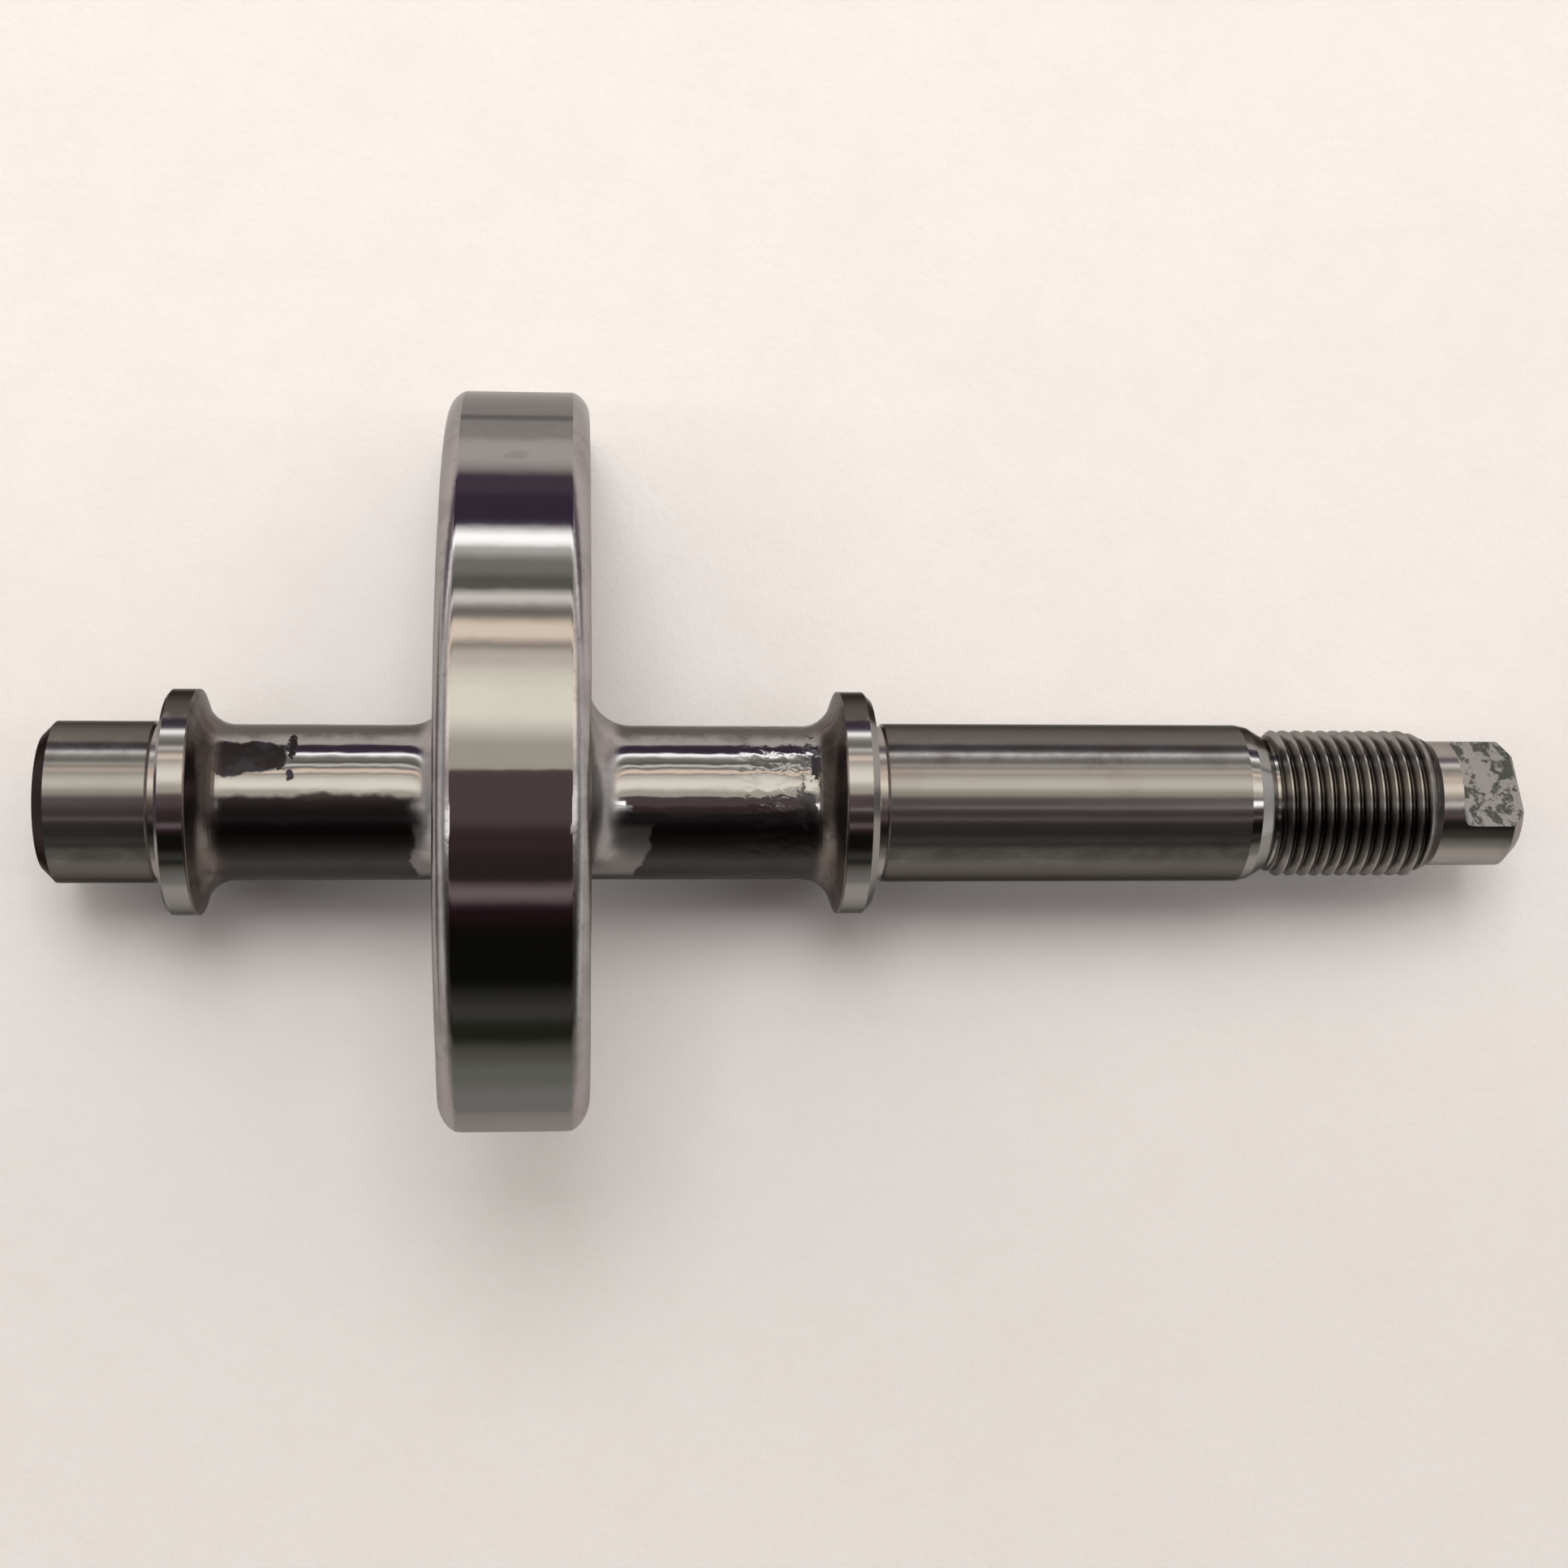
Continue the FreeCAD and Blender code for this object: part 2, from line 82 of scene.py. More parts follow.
class Finish(Enum):
    """How each length of the shaft was left by its last operation."""

    GROUND = "ground_seat"
    TURNED = "turned_land"
    # The chamfer's steel colour is painted nearly black: a painted dark reflection.
    CHAMFER = "oiled_chamfer"
    RIM = "turned_rim"
    FORGED = "forged_skin"
    THREAD = "rolled_thread"
    TIP = "plain_tip"
    MILLED = "milled_flat"
    CENTRE = "centre_hole"


FINISHES = list(Finish)


# Sizes


@dataclass(frozen=True)
class Sizes:
    """Sizes of the shaft in millimetres and degrees, read from the frame where it states them."""

    seat: float
    short_shoulder: float
    long_shoulder: float
    long_seat: float
    long_seat_end: float
    thread: float
    thread_start: float
    thread_end: float
    tongue_start: float
    low_end: float
    high_end: float
    collar: float
    weight: float
    neck: float = 7.25
    undercut_depth: float = 0.25
    undercut_round: float = 0.4
    end_chamfer: float = 1.15
    short_collar_land: float = 2.7
    long_collar_land: float = 3.1
    short_collar_chamfer: float = 0.3
    long_collar_chamfer: float = 0.7
    flank_draft: float = 20.0
    flank_round: float = 0.4
    flank_fillet: float = 3.0
    flank_reach: float = 2.6
    weight_place: float = 25.8
    weight_width: float = 12.6
    weight_turning: float = 0.12
    weight_span: float = 151.4
    weight_edge_round: float = 2.2
    weight_root: float = 4.0
    lead_length: float = 1.0
    lead: float = 7.3
    relief: float = 6.3
    relief_width: float = 0.3
    thread_taper: float = 26.0
    pitch: float = 1.25
    tip: float = 6.0
    tip_chamfer: float = 1.2
    tongue: float = 7.5
    tongue_root: float = 1.0
    mouth: float = 2.65
    pilot: float = 1.25
    centre_depth: float = 5.6
    centre_angle: float = 60.0

    @classmethod
    def from_frame(cls, record: dict[str, Any]) -> "Sizes":
        """Read the seats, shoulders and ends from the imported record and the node's box.

        Args:
            record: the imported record.

        Returns:
            The sizes in millimetres.
        """
        mounts = {mount["name"]: mount for mount in record["mounts"]}
        low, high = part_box(NODE)

        def place(name: str) -> float:
            """Place of a mount along the shaft."""
            return mounts[name]["pos_m"][0] / MM

        def size(name: str, key: str) -> float:
            """Dimension of a mount."""
            return mounts[name]["dims"][key]

        return cls(
            seat=size("short_seat", "r_mm"),
            short_shoulder=place("short_shoulder"),
            long_shoulder=place("long_shoulder"),
            long_seat=place("long_seat"),
            long_seat_end=place("long_seat") + size("long_seat", "length_mm"),
            thread=size("nut_thread", "r_mm"),
            thread_start=place("nut_thread"),
            thread_end=place("nut_thread") + size("nut_thread", "length_mm"),
            tongue_start=place("drive_tongue"),
            low_end=low.x / MM,
            high_end=high.x / MM,
            collar=-low.z / MM,
            weight=high.z / MM,
        )

    @property
    def half_span(self) -> float:
        """Half of the weight's angle, in radians."""
        return math.radians(self.weight_span) / 2

    @property
    def middle(self) -> float:
        """Angle of the weight's middle, from +Y towards +Z: its lower corner is as low as the collars."""
        return -math.asin(self.collar / self.weight) + self.half_span

    @property
    def short_land_end(self) -> float:
        """Inner end of the short collar's land."""
        return self.short_shoulder + self.short_collar_land

    @property
    def long_land_end(self) -> float:
        """Inner end of the long collar's land."""
        return self.long_shoulder - self.long_collar_land

    @property
    def flank(self) -> float:
        """Length of a flank along the shaft."""
        return (self.collar - self.neck) * math.tan(math.radians(self.flank_draft))

    @property
    def thread_foot(self) -> float:
        """Start of the thread's chamfer."""
        return self.thread_start - (self.thread - self.relief)

    @property
    def thread_slope(self) -> float:
        """Rise over run of the taper that ends the thread."""
        return math.tan(math.radians(self.thread_taper))

    @property
    def thread_stop(self) -> float:
        """End of the thread's taper."""
        return self.thread_end + (self.thread - self.tip) / self.thread_slope

    @property
    def near(self) -> float:
        """Start of the weight along the shaft."""
        return self.short_shoulder + self.weight_place

    @property
    def far(self) -> float:
        """End of the weight along the shaft."""
        return self.near + self.weight_width

    @property
    def hub(self) -> float:
        """Radius where the weight's root fillets begin."""
        return self.neck + self.weight_root


# Meshes


@dataclass
class Shell:
    """Vertices in millimetres, quads and triangles, and the finish of each face."""

    points: list[np.ndarray] = field(default_factory=list)
    faces: list[tuple[int, ...]] = field(default_factory=list)
    finishes: list[int] = field(default_factory=list)
    count: int = 0

    def add_points(self, points: np.ndarray) -> np.ndarray:
        """Add points.

        Args:
            points: an array of any shape that ends in 3.

        Returns:
            Their indices, in the same layout.
        """
        flat = np.asarray(points, float).reshape(-1, 3)
        numbers = np.arange(self.count, self.count + len(flat)).reshape(points.shape[:-1])
        self.points.append(flat)
        self.count += len(flat)
        return numbers

    def add_sheet(self, points: np.ndarray, finish: Finish | np.ndarray, closed: bool = False) -> None:
        """Add a sheet of quads through rows and columns of points.

        Args:
            points: rows by columns by 3.
            finish: the finish of the sheet, or the number of each quad's finish.
            closed: True where the last column joins the first.
        """
        numbers = self.add_points(points)
        if closed:
            numbers = np.concatenate([numbers, numbers[:, :1]], axis=1)
        if isinstance(finish, Finish):
            finish = np.full((numbers.shape[0] - 1, numbers.shape[1] - 1), FINISHES.index(finish))
        quads = np.stack([numbers[:-1, :-1], numbers[:-1, 1:], numbers[1:, 1:], numbers[1:, :-1]], axis=-1)
        self.faces.extend(tuple(quad) for quad in quads.reshape(-1, 4).tolist())
        self.finishes.extend(finish.reshape(-1).tolist())


def around(across: float | np.ndarray, radius: float | np.ndarray, angle: float | np.ndarray) -> np.ndarray:
    """Points at places along the shaft, radii and angles from +Y towards +Z.

    Args:
        across: X in millimetres.
        radius: distance from the axis.
        angle: in radians.

    Returns:
        An array that ends in 3.
    """
    across, radius, angle = np.broadcast_arrays(across, radius, angle)
    return np.stack([across, radius * np.cos(angle), radius * np.sin(angle)], axis=-1)


def swing(start: np.ndarray, end: np.ndarray, sweep: float | np.ndarray, share: float) -> np.ndarray:
    """Arm that has swung through a share of the sweep, an angle in radians, from the start to the end."""
    return (start * np.sin((1 - share) * sweep) + end * np.sin(share * sweep)) / np.sin(sweep)


@dataclass
class Section:
    """Outline of a turned length, from corners: place along the shaft, radius and any rounding's radius."""

    corners: Sequence[tuple[float, ...]]
    arc_steps: int = 10
    guard: float = 0.06

    def line(self) -> np.ndarray:
        """Outline with its arcs, and guard points beside each corner that keep flat lengths flat.

        Returns:
            An array of (across, radius).
        """
        made: list[np.ndarray] = []
        places = [np.array(corner[:2]) for corner in self.corners]
        for number, (_, _, *rounding) in enumerate(self.corners):
            if rounding:
                made.extend(self._arc(*places[number - 1:number + 2], rounding[0]))
            else:
                made.append(places[number])
        guarded = [made[0]]
        for start, end in zip(made, made[1:]):
            run = float(np.linalg.norm(end - start))
            if run > 4 * self.guard:
                guarded.append(start + (end - start) * self.guard / run)
                guarded.append(end - (end - start) * self.guard / run)
            guarded.append(end)
        return np.array(guarded)

    def _arc(
        self, before: np.ndarray, corner: np.ndarray, after: np.ndarray, radius: float,
    ) -> list[np.ndarray]:
        """Points of the arc that rounds one corner.

        Args:
            before: the corner before it, as (across, radius).
            corner: the corner.
            after: the corner after it.
            radius: the arc's radius.

        Returns:
            The points in order.
        """
        back =(before - corner) / np.linalg.norm(before - corner)
        ahead = (after - corner) / np.linalg.norm(after - corner)
        half = math.acos(max(-1.0, min(1.0, float(back @ ahead)))) / 2
        middle = (back + ahead) / np.linalg.norm(back + ahead)
        centre = corner + middle * radius / math.sin(half)
        start = corner + back * radius / math.tan(half) - centre
        end = corner + ahead * radius / math.tan(half) - centre
        shares = np.linspace(0.0, 1.0, self.arc_steps + 1)
        return [centre + swing(start, end, math.pi - 2 * half, share) for share in shares]


# Node trees


class Value:
    """Output socket of a node tree, with Python's operators as Math nodes."""

    def __init__(self, maker: "Maker", socket: bpy.types.NodeSocket) -> None:
        """Keep the socket and the tree's maker."""
        self.maker = maker
        self.socket = socket

    def math(self, operation: str, *others: Any) -> "Value":
        """One Math node with this value first."""
        inputs = dict(enumerate([self, *others]))
        return self.maker.node("ShaderNodeMath", {"operation": operation}, inputs)

    def __add__(self, other: Any) -> "Value":
        """Sum."""
        return self.math("ADD", other)

    __radd__ = __add__

    def __mul__(self, other: Any) -> "Value":
        """Product."""
        return self.math("MULTIPLY", other)

    __rmul__ = __mul__

    def __sub__(self, other: Any) -> "Value":
        """Difference."""
        return self.math("SUBTRACT", other)

    def __rsub__(self, other: float) -> "Value":
        """Difference from a number."""
        return self.maker.node("ShaderNodeMath", {"operation": "SUBTRACT"}, {0: other, 1: self})

    def __truediv__(self, other: Any) -> "Value":
        """Quotient."""
        return self.math("DIVIDE", other)

    def above(self, other: Any) -> "Value":
        """1 where this is greater, else 0."""
        return self.math("GREATER_THAN", other)

    def least(self, other: Any) -> "Value":
        """Smaller of the two."""
        return self.math("MINIMUM", other)

    def most(self, other: Any) -> "Value":
        """Greater of the two."""
        return self.math("MAXIMUM", other)

    def ramp(self, low: float, high: float) -> "Value":
        """Smooth step from 0 at low to 1 at high; the other way round where high is less."""
        settings = {"interpolation_type": "SMOOTHSTEP"}
        flipped = low > high
        ends = {1: high, 2: low, 3: 1.0, 4: 0.0} if flipped else {1: low, 2: high, 3: 0.0, 4: 1.0}
        return self.maker.node("ShaderNodeMapRange", settings, {0: self, **ends})


class Maker:
    """Builds a node tree: each node from its type, its settings and its sockets."""

    def __init__(self, tree: bpy.types.NodeTree) -> None:
        """Keep the tree."""
        self.tree = tree

    def node(
        self, kind: str, settings: dict[str, Any] | None = None, inputs: dict[int | str, Any] | None = None,
        output: int | str = 0,
    ) -> Value:
        """Add a node.

        Args:
            kind: its Blender type.
            settings: its properties, or a ramp's stops under the key "stops".
            inputs: values or links by socket number or name.
            output: the socket that the result wraps.

        Returns:
            The output socket.
        """
        made = self.tree.nodes.new(kind)
        for name, setting in (settings or {}).items():
            if name == "stops":
                self._stops(made.color_ramp, setting)
            else:
                setattr(made, name, setting)
        for name, given in (inputs or {}).items():
            if isinstance(given, Value):
                self.tree.links.new(given.socket, made.inputs[name])
            else:
                made.inputs[name].default_value = given
        return Value(self, made.outputs[output]) if len(made.outputs) else Value(self, None)

    def _stops(self, ramp: bpy.types.ColorRamp, stops: Sequence[tuple[float, Sequence[float]]]) -> None:
        """Set a colour ramp's stops."""
        while len(ramp.elements) > 1:
            ramp.elements.remove(ramp.elements[-1])
        ramp.elements[0].position = stops[0][0]
        ramp.elements[0].color = (*stops[0][1], 1.0)
        for position, colour in stops[1:]:
            ramp.elements.new(position).color = (*colour, 1.0)

    def combine(self, x: Any, y: Any, z: Any) -> Value:
        """Vector from three numbers."""
        return self.node("ShaderNodeCombineXYZ", {}, {0: x, 1: y, 2: z})

    def split(self, vector: Value) -> tuple[Value, Value, Value]:
        """Three numbers from a vector."""
        first = self.node("ShaderNodeSeparateXYZ", {}, {0: vector})
        outputs = first.socket.node.outputs
        return tuple(Value(self, outputs[number]) for number in range(3))

    def vector(self, operation: str, *given: Any, output: int = 0) -> Value:
        """One Vector Math node."""
        return self.node("ShaderNodeVectorMath", {"operation": operation}, dict(enumerate(given)), output)

    def scaled(self, vector: Value, scale: Any) -> Value:
        """Vector times a number."""
        return self.node("ShaderNodeVectorMath", {"operation": "SCALE"}, {0: vector, "Scale": scale})

    def mix(self, factor: Any, first: Any, second: Any) -> Value:
        """Mixed colour: first where the factor is 0."""
        colours = [(*c, 1.0) if isinstance(c, tuple) and len(c) == 3 else c for c in (first, second)]
        return self.node("ShaderNodeMix", {"data_type": "RGBA"}, {0: factor, 6: colours[0], 7: colours[1]}, 2)

    def noise(
        self, where: Value, scale: float, detail: float = 2.0, roughness: float = 0.5, twist: float = 0.0,
    ) -> Value:
        """Noise from 0 to 1."""
        return self.node("ShaderNodeTexNoise", {}, {
            "Vector": where, "Scale": scale, "Detail": detail, "Roughness": roughness, "Distortion": twist})

    def bump(self, height: Value) -> Value:
        """Normal of a surface with this height in millimetres."""
        return self.node("ShaderNodeBump", {}, {"Strength": 1.0, "Distance": MM, "Height": height})

    def surface(self, inputs: dict[str, Any]) -> None:
        """End a material's tree with one Principled shader."""
        self.node("ShaderNodeOutputMaterial", {}, {0: self.node("ShaderNodeBsdfPrincipled", {}, inputs)})


def empty_tree(owner: bpy.types.Material | bpy.types.World) -> Maker:
    """Maker of a new material's or world's emptied node tree."""
    owner.use_nodes = True
    owner.node_tree.nodes.clear()
    return Maker(owner.node_tree)


class GeometryTree:
    """Geometry Nodes tree with named inputs, run once on an object and turned into a plain mesh."""

    def __init__(self, name: str, counts: Sequence[str], numbers: Sequence[str]) -> None:
        """Make the tree with its geometry sockets and its named inputs.

        Args:
            name: the tree's name.
            counts: names of its whole-number inputs.
            numbers: names of its other number inputs.
        """
        self.tree = bpy.data.node_groups.new(name, "GeometryNodeTree")
        kinds = {"Geometry": "NodeSocketGeometry", **dict.fromkeys(counts, "NodeSocketInt")}
        kinds |= {**dict.fromkeys(numbers, "NodeSocketFloat"), "Finish": "NodeSocketMaterial"}
        face = self.tree.interface
        self.keys = {
            port: face.new_socket(port, in_out="INPUT", socket_type=kind).identifier
            for port, kind in kinds.items()}
        face.new_socket("Geometry", in_out="OUTPUT", socket_type="NodeSocketGeometry")
        self.maker = Maker(self.tree)
        self.entry = self.tree.nodes.new("NodeGroupInput")

    def port(self, name: str) -> Value:
        """Value of a named input."""
        return Value(self.maker, self.entry.outputs[name])

    def end(self, geometry: Value, **chosen: Value) -> None:
        """Close the tree with Realize Instances and Set Material, on the chosen faces if they are given."""
        real = self.maker.node("GeometryNodeRealizeInstances", {}, {0: geometry})
        dressed = self.maker.node("GeometryNodeSetMaterial", {}, {
            "Geometry": real, "Material": self.port("Finish"), **chosen})
        self.maker.node("NodeGroupOutput", {}, {0: dressed})

    def run(self, piece: bpy.types.Object, values: dict[str, Any]) -> bpy.types.Mesh:
        """Run the tree on an object, which keeps no modifier of it.

        Args:
            piece: the object.
            values: a value for each named input.

        Returns:
            The plain mesh that the tree makes.
        """
        modifier = piece.modifiers.new(self.tree.name, "NODES")
        modifier.node_group = self.tree
        for name, value in values.items():
            modifier[self.keys[name]] = value
        graph = bpy.context.evaluated_depsgraph_get()
        mesh = bpy.data.meshes.new_from_object(piece.evaluated_get(graph))
        piece.modifiers.remove(modifier)
        return mesh


class TurningTree(GeometryTree):
    """Turns a section round the shaft's axis: rows follow the seed's points, columns go round.

    With a pitch it winds the section as a thread: a row moves on by one pitch in each turn, between the
    chamfer at the start and the taper at the end.
    """

    PLAIN = {
        "Pitch": 0.0, "Start": -1e3, "Start radius": 1e3, "End": 1e3, "End radius": 1e3, "End slope": 0.0}

    def __init__(self) -> None:
        """Build the tree."""
        super().__init__("turning", ("Points", "Columns"), ("First angle", *self.PLAIN))
        make = self.maker
        columns = self.port("Columns")
        grid = make.node("GeometryNodeMeshGrid", {}, {2: self.port("Points"), 3: columns + 1.0})
        number = make.node("GeometryNodeInputIndex")
        row = make.node("ShaderNodeMath", {"operation": "FLOOR"}, {0: (number + 0.5) / (columns + 1.0)})
        column = number - row * (columns + 1.0)
        angle = self.port("First angle") + column * (2 * math.pi) / columns
        profile = make.node("GeometryNodeSampleIndex", {"data_type": "FLOAT_VECTOR"}, {
            "Geometry": self.port("Geometry"), "Value": make.node("GeometryNodeInputPosition"), "Index": row})
        raw_across, raw_radius, _ = make.split(profile)
        start, end = self.port("Start"), self.port("End")
        free = raw_across + self.port("Pitch") * (column / columns)
        across = free.most(start).least(end)
        chamfer = self.port("Start radius") + across - start
        taper = self.port("End radius") + (end - across) * self.port("End slope")
        limit = chamfer.least(taper)
        inside = free.above(start) * end.above(free)
        radius = limit.least(raw_radius * inside + limit * (1.0 - inside))
        place = make.combine(
            across * MM, radius * angle.math("COSINE") * MM, radius * angle.math("SINE") * MM)
        turned = make.node("GeometryNodeSetPosition", {}, {"Geometry": grid, "Position": place})
        self.end(make.node("GeometryNodeMergeByDistance", {}, {"Geometry": turned, "Distance": WELD}))


class SkinTree(GeometryTree):
    """Waves of a forged skin: moves points along their normals between two ends and inside the turned rim."""

    def __init__(self) -> None:
        """Build the tree."""
        super().__init__("forged_skin", (), (
            "Start", "End", "Rim", "Wave", "Ripple", "Hammer", "Hammer start", "Hammer end", "Neck", "Seed"))
        make = self.maker
        place = make.scaled(make.node("GeometryNodeInputPosition"), 1 / MM)
        across, aside, up = make.split(place)
        radius = make.vector("LENGTH", make.combine(0.0, aside, up), output="Value")
        end_soft, rim_soft = 1.2, 2.5
        mask = (across - self.port("Start")).ramp(0.0, end_soft)
        mask = mask * (self.port("End") - across).ramp(0.0, end_soft)
        mask = mask * (self.port("Rim") - radius).ramp(0.0, rim_soft)
        shifted = make.vector("ADD", place, make.combine(self.port("Seed"), self.port("Seed"), 0.0))
        wave = make.noise(shifted, 0.16, 1.0, 0.4) - 0.5
        ripple = make.noise(shifted, 0.55, 2.0, 0.5, 0.4) - 0.5
        slant = make.combine(across * 1.1 + aside * 0.5, aside * 0.9 - across * 0.35, up * 0.9)
        dents = make.noise(slant, 0.85, 2.0, 0.55, 1.1) - 0.5
        start, end = self.port("Hammer start"), self.port("Hammer end")
        hammered = (across - start).ramp(0.0, 4.5) * (end - across).ramp(0.0, 1.0)
        hammered = hammered * (self.port("Neck") - radius).ramp(-1.6, -0.2)
        height = wave * self.port("Wave") + ripple * self.port("Ripple")
        height = (height + dents * hammered * self.port("Hammer")) * mask * MM
        offset = make.scaled(make.node("GeometryNodeInputNormal"), height)
        moved = make.node("GeometryNodeSetPosition", {}, {
            "Geometry": self.port("Geometry"), "Offset": offset})
        self.end(moved, Selection=make.node(
            "GeometryNodeMaterialSelection", {}, {"Material": self.port("Finish")}))


# The shaft


@dataclass
class BalanceShaft:
    """One-piece shaft: its lengths are made apart, welded into one closed mesh and dressed by finish."""

    sizes: Sizes
    materials: dict[Finish, bpy.types.Material]
    shell: Shell = field(default_factory=Shell)
    side_columns: int = 68
    edge_steps: int = 8
    crease_steps: int = 3
    flat_steps: int = 8
    wall_rows: int = 26
    root_steps: int = 12
    flat_columns: int = 27
    neck_step: float = 0.33
    blend: float = 3.0
    wave: float = 0.10
    ripple: float = 0.035
    hammer: float = 0.14
    hammer_reach: float = 15.0
    hammer_gap: float = 5.2
    rim_gap: float = 0.1
    wave_seed: float = 7.0

    def columns_apart(self) -> np.ndarray:
        """Angles of the columns from the weight's middle, in radians."""
        return (np.arange(COLUMNS) - self.side_columns // 2) * 2 * math.pi / COLUMNS

    def build(self) -> bpy.types.Object:
        """Build the whole shaft.

        Returns:
            The finished object.
        """
        tree = TurningTree()
        for name, finish, corners in self.turned_lengths():
            self.turn(tree, name, finish, Section(corners).line(), tree.PLAIN)
        self.wind_thread(tree)
        self.add_weight()
        self.add_tip()
        piece = self.weld()
        LOG.info("%s: %d faces, %d points", PIECE, len(piece.data.polygons), len(piece.data.vertices))
        return piece

    def turned_lengths(self) -> Iterable[tuple[str, Finish, Sequence[tuple[float, ...]]]]:
        """Names, finishes and section corners of the lengths that are round all over."""
        z = self.sizes
        low, high = z.low_end, z.high_end
        seat_start, face_rim = low + z.end_chamfer, z.seat - z.end_chamfer
        groove, face_foot = z.seat - z.undercut_depth, z.seat + z.undercut_depth
        neck_start, neck_end = self.neck_ends()
        cone = (z.mouth - z.pilot) / math.tan(math.radians(z.centre_angle) / 2)
        point = z.pilot / math.tan(math.radians(z.centre_angle))
        short_edge, long_edge = z.short_land_end - z.flank_round / 2, z.long_land_end + z.flank_round / 2
        edge_round = z.flank_round / 2.5

        yield "low_centre", Finish.CENTRE, (
            (low + z.centre_depth + point, 0.0), (low + z.centre_depth, z.pilot), (low + cone, z.pilot),
            (low, z.mouth))
        yield "low_face", Finish.MILLED, ((low, z.mouth), (low, face_rim))
        yield "low_chamfer", Finish.CHAMFER, ((low, face_rim), (seat_start, z.seat))
        yield "short_seat", Finish.GROUND, ((seat_start, z.seat), (0.0, z.seat))
        yield "short_undercut", Finish.TIP, (
            (0.0, z.seat), (z.undercut_depth, groove), (z.short_shoulder, groove, z.undercut_round),
            (z.short_shoulder, face_foot))
        yield "short_collar", Finish.TURNED, (
            (z.short_shoulder, face_foot), (z.short_shoulder, z.collar - z.short_collar_chamfer),
            (z.short_shoulder + z.short_collar_chamfer, z.collar), (short_edge, z.collar))
        yield "short_flank", Finish.FORGED, (
            (short_edge, z.collar), (z.short_land_end, z.collar, edge_round),
            (z.short_land_end + z.flank, z.neck, z.flank_fillet), (neck_start, z.neck))
        yield "long_flank", Finish.FORGED, (
            (neck_end, z.neck), (z.long_land_end - z.flank, z.neck, z.flank_fillet),
            (z.long_land_end, z.collar, edge_round), (long_edge, z.collar))
        yield "long_collar", Finish.TURNED, (
            (long_edge, z.collar), (z.long_shoulder - z.long_collar_chamfer, z.collar),
            (z.long_shoulder, z.collar - z.long_collar_chamfer), (z.long_shoulder, face_foot))
        yield "long_undercut", Finish.TIP, (
            (z.long_shoulder, face_foot), (z.long_shoulder, groove, z.undercut_round),
            (z.long_seat - z.undercut_depth, groove), (z.long_seat, z.seat))
        yield "long_seat", Finish.GROUND, ((z.long_seat, z.seat), (z.long_seat_end, z.seat))
        yield "relief", Finish.TURNED, (
            (z.long_seat_end, z.seat), (z.long_seat_end + z.lead_length, z.lead),
            (z.thread_foot - z.relief_width, z.relief), (z.thread_foot, z.relief))
        yield "high_centre", Finish.CENTRE, (
            (high, z.mouth), (high - cone, z.pilot), (high - z.centre_depth, z.pilot),
            (high - z.centre_depth - point, 0.0))

    def neck_ends(self) -> tuple[float, float]:
        """Places where the turned flanks hand over to the rows of the weight's necks."""
        z = self.sizes
        return z.short_land_end + z.flank + z.flank_reach, z.long_land_end - z.flank - z.flank_reach

    def turn(
        self, tree: TurningTree, name: str, finish: Finish, line: np.ndarray, thread: dict[str, float],
    ) -> None:
        """Turn one length or wind the thread, and take its faces into the shell.

        Args:
            tree: the turning tree.
            name: name of the length.
            finish: its finish.
            line: place along the shaft and radius of each row.
            thread: the tree's pitch and ends.
        """
        seed = bpy.data.meshes.new(name + "_seed")
        seed.from_pydata(np.column_stack([line, np.zeros(len(line))]).tolist(), [], [])
        carrier = bpy.data.objects.new(name + "_seed", seed)
        bpy.context.scene.collection.objects.link(carrier)
        mesh = tree.run(carrier, {
            "Points": len(line), "Columns": COLUMNS, "Finish": self.materials[finish],
            "First angle": self.sizes.middle + float(self.columns_apart()[0]), **thread})
        bpy.data.objects.remove(carrier)
        bpy.data.meshes.remove(seed)
        flat = np.zeros(len(mesh.vertices) * 3)
        mesh.vertices.foreach_get("co", flat)
        numbers = self.shell.add_points(flat.reshape(-1, 3) / MM)
        for face in mesh.polygons:
            self.shell.faces.append(tuple(int(numbers[index]) for index in face.vertices))
            self.shell.finishes.append(FINISHES.index(finish))
        bpy.data.meshes.remove(mesh)
        LOG.info("%s: %d rows", name, len(line))

    def wind_thread(self, tree: TurningTree) -> None:
        """Wind the thread between its chamfer and its taper.

        Args:
            tree: the turning tree.
        """
        z = self.sizes
        # Places are shares of the pitch from a crest's middle; depths are those of a metric external thread.
        crest, root = 1 / 16, 3 / 8
        flank_depth, root_depth, beside_root = 0.5413 * z.pitch, 0.6 * z.pitch, 0.985
        half = [(crest + (root - crest) * share, flank_depth * share) for share in (0.0, 1 / 3, 2 / 3, 1.0)]
        half.append(((root + 0.5) / 2, root_depth * beside_root))
        rising = [(1 - place, depth) for place, depth in half[:0:-1]]
        profile = [(-crest, 0.0), *half, (0.5, root_depth), *rising]
        turns = math.ceil((z.thread_stop - z.thread_foot) / z.pitch) + 2
        rows = [
            (z.thread_foot + (turn - 1.5 + place) * z.pitch, z.thread - depth)
            for turn in range(turns) for place, depth in profile]
        self.turn(tree, "thread", Finish.THREAD, np.array(rows), {
            "Pitch": z.pitch, "Start": z.thread_foot, "Start radius": z.relief,
            "End": z.thread_stop, "End radius": z.tip, "End slope": z.thread_slope})

    def put(self, across: Any, radius: Any, apart: Any) -> np.ndarray:
        """Points at angles from the weight's middle."""
        return around(across, radius, np.asarray(apart) + self.sizes.middle)

    def fan(self, spread: np.ndarray) -> np.ndarray:
        """Angles of the weight's columns from its middle, where each row's last one stands at its spread."""
        return np.multiply.outer(spread, np.linspace(-1.0, 1.0, self.side_columns + 1))

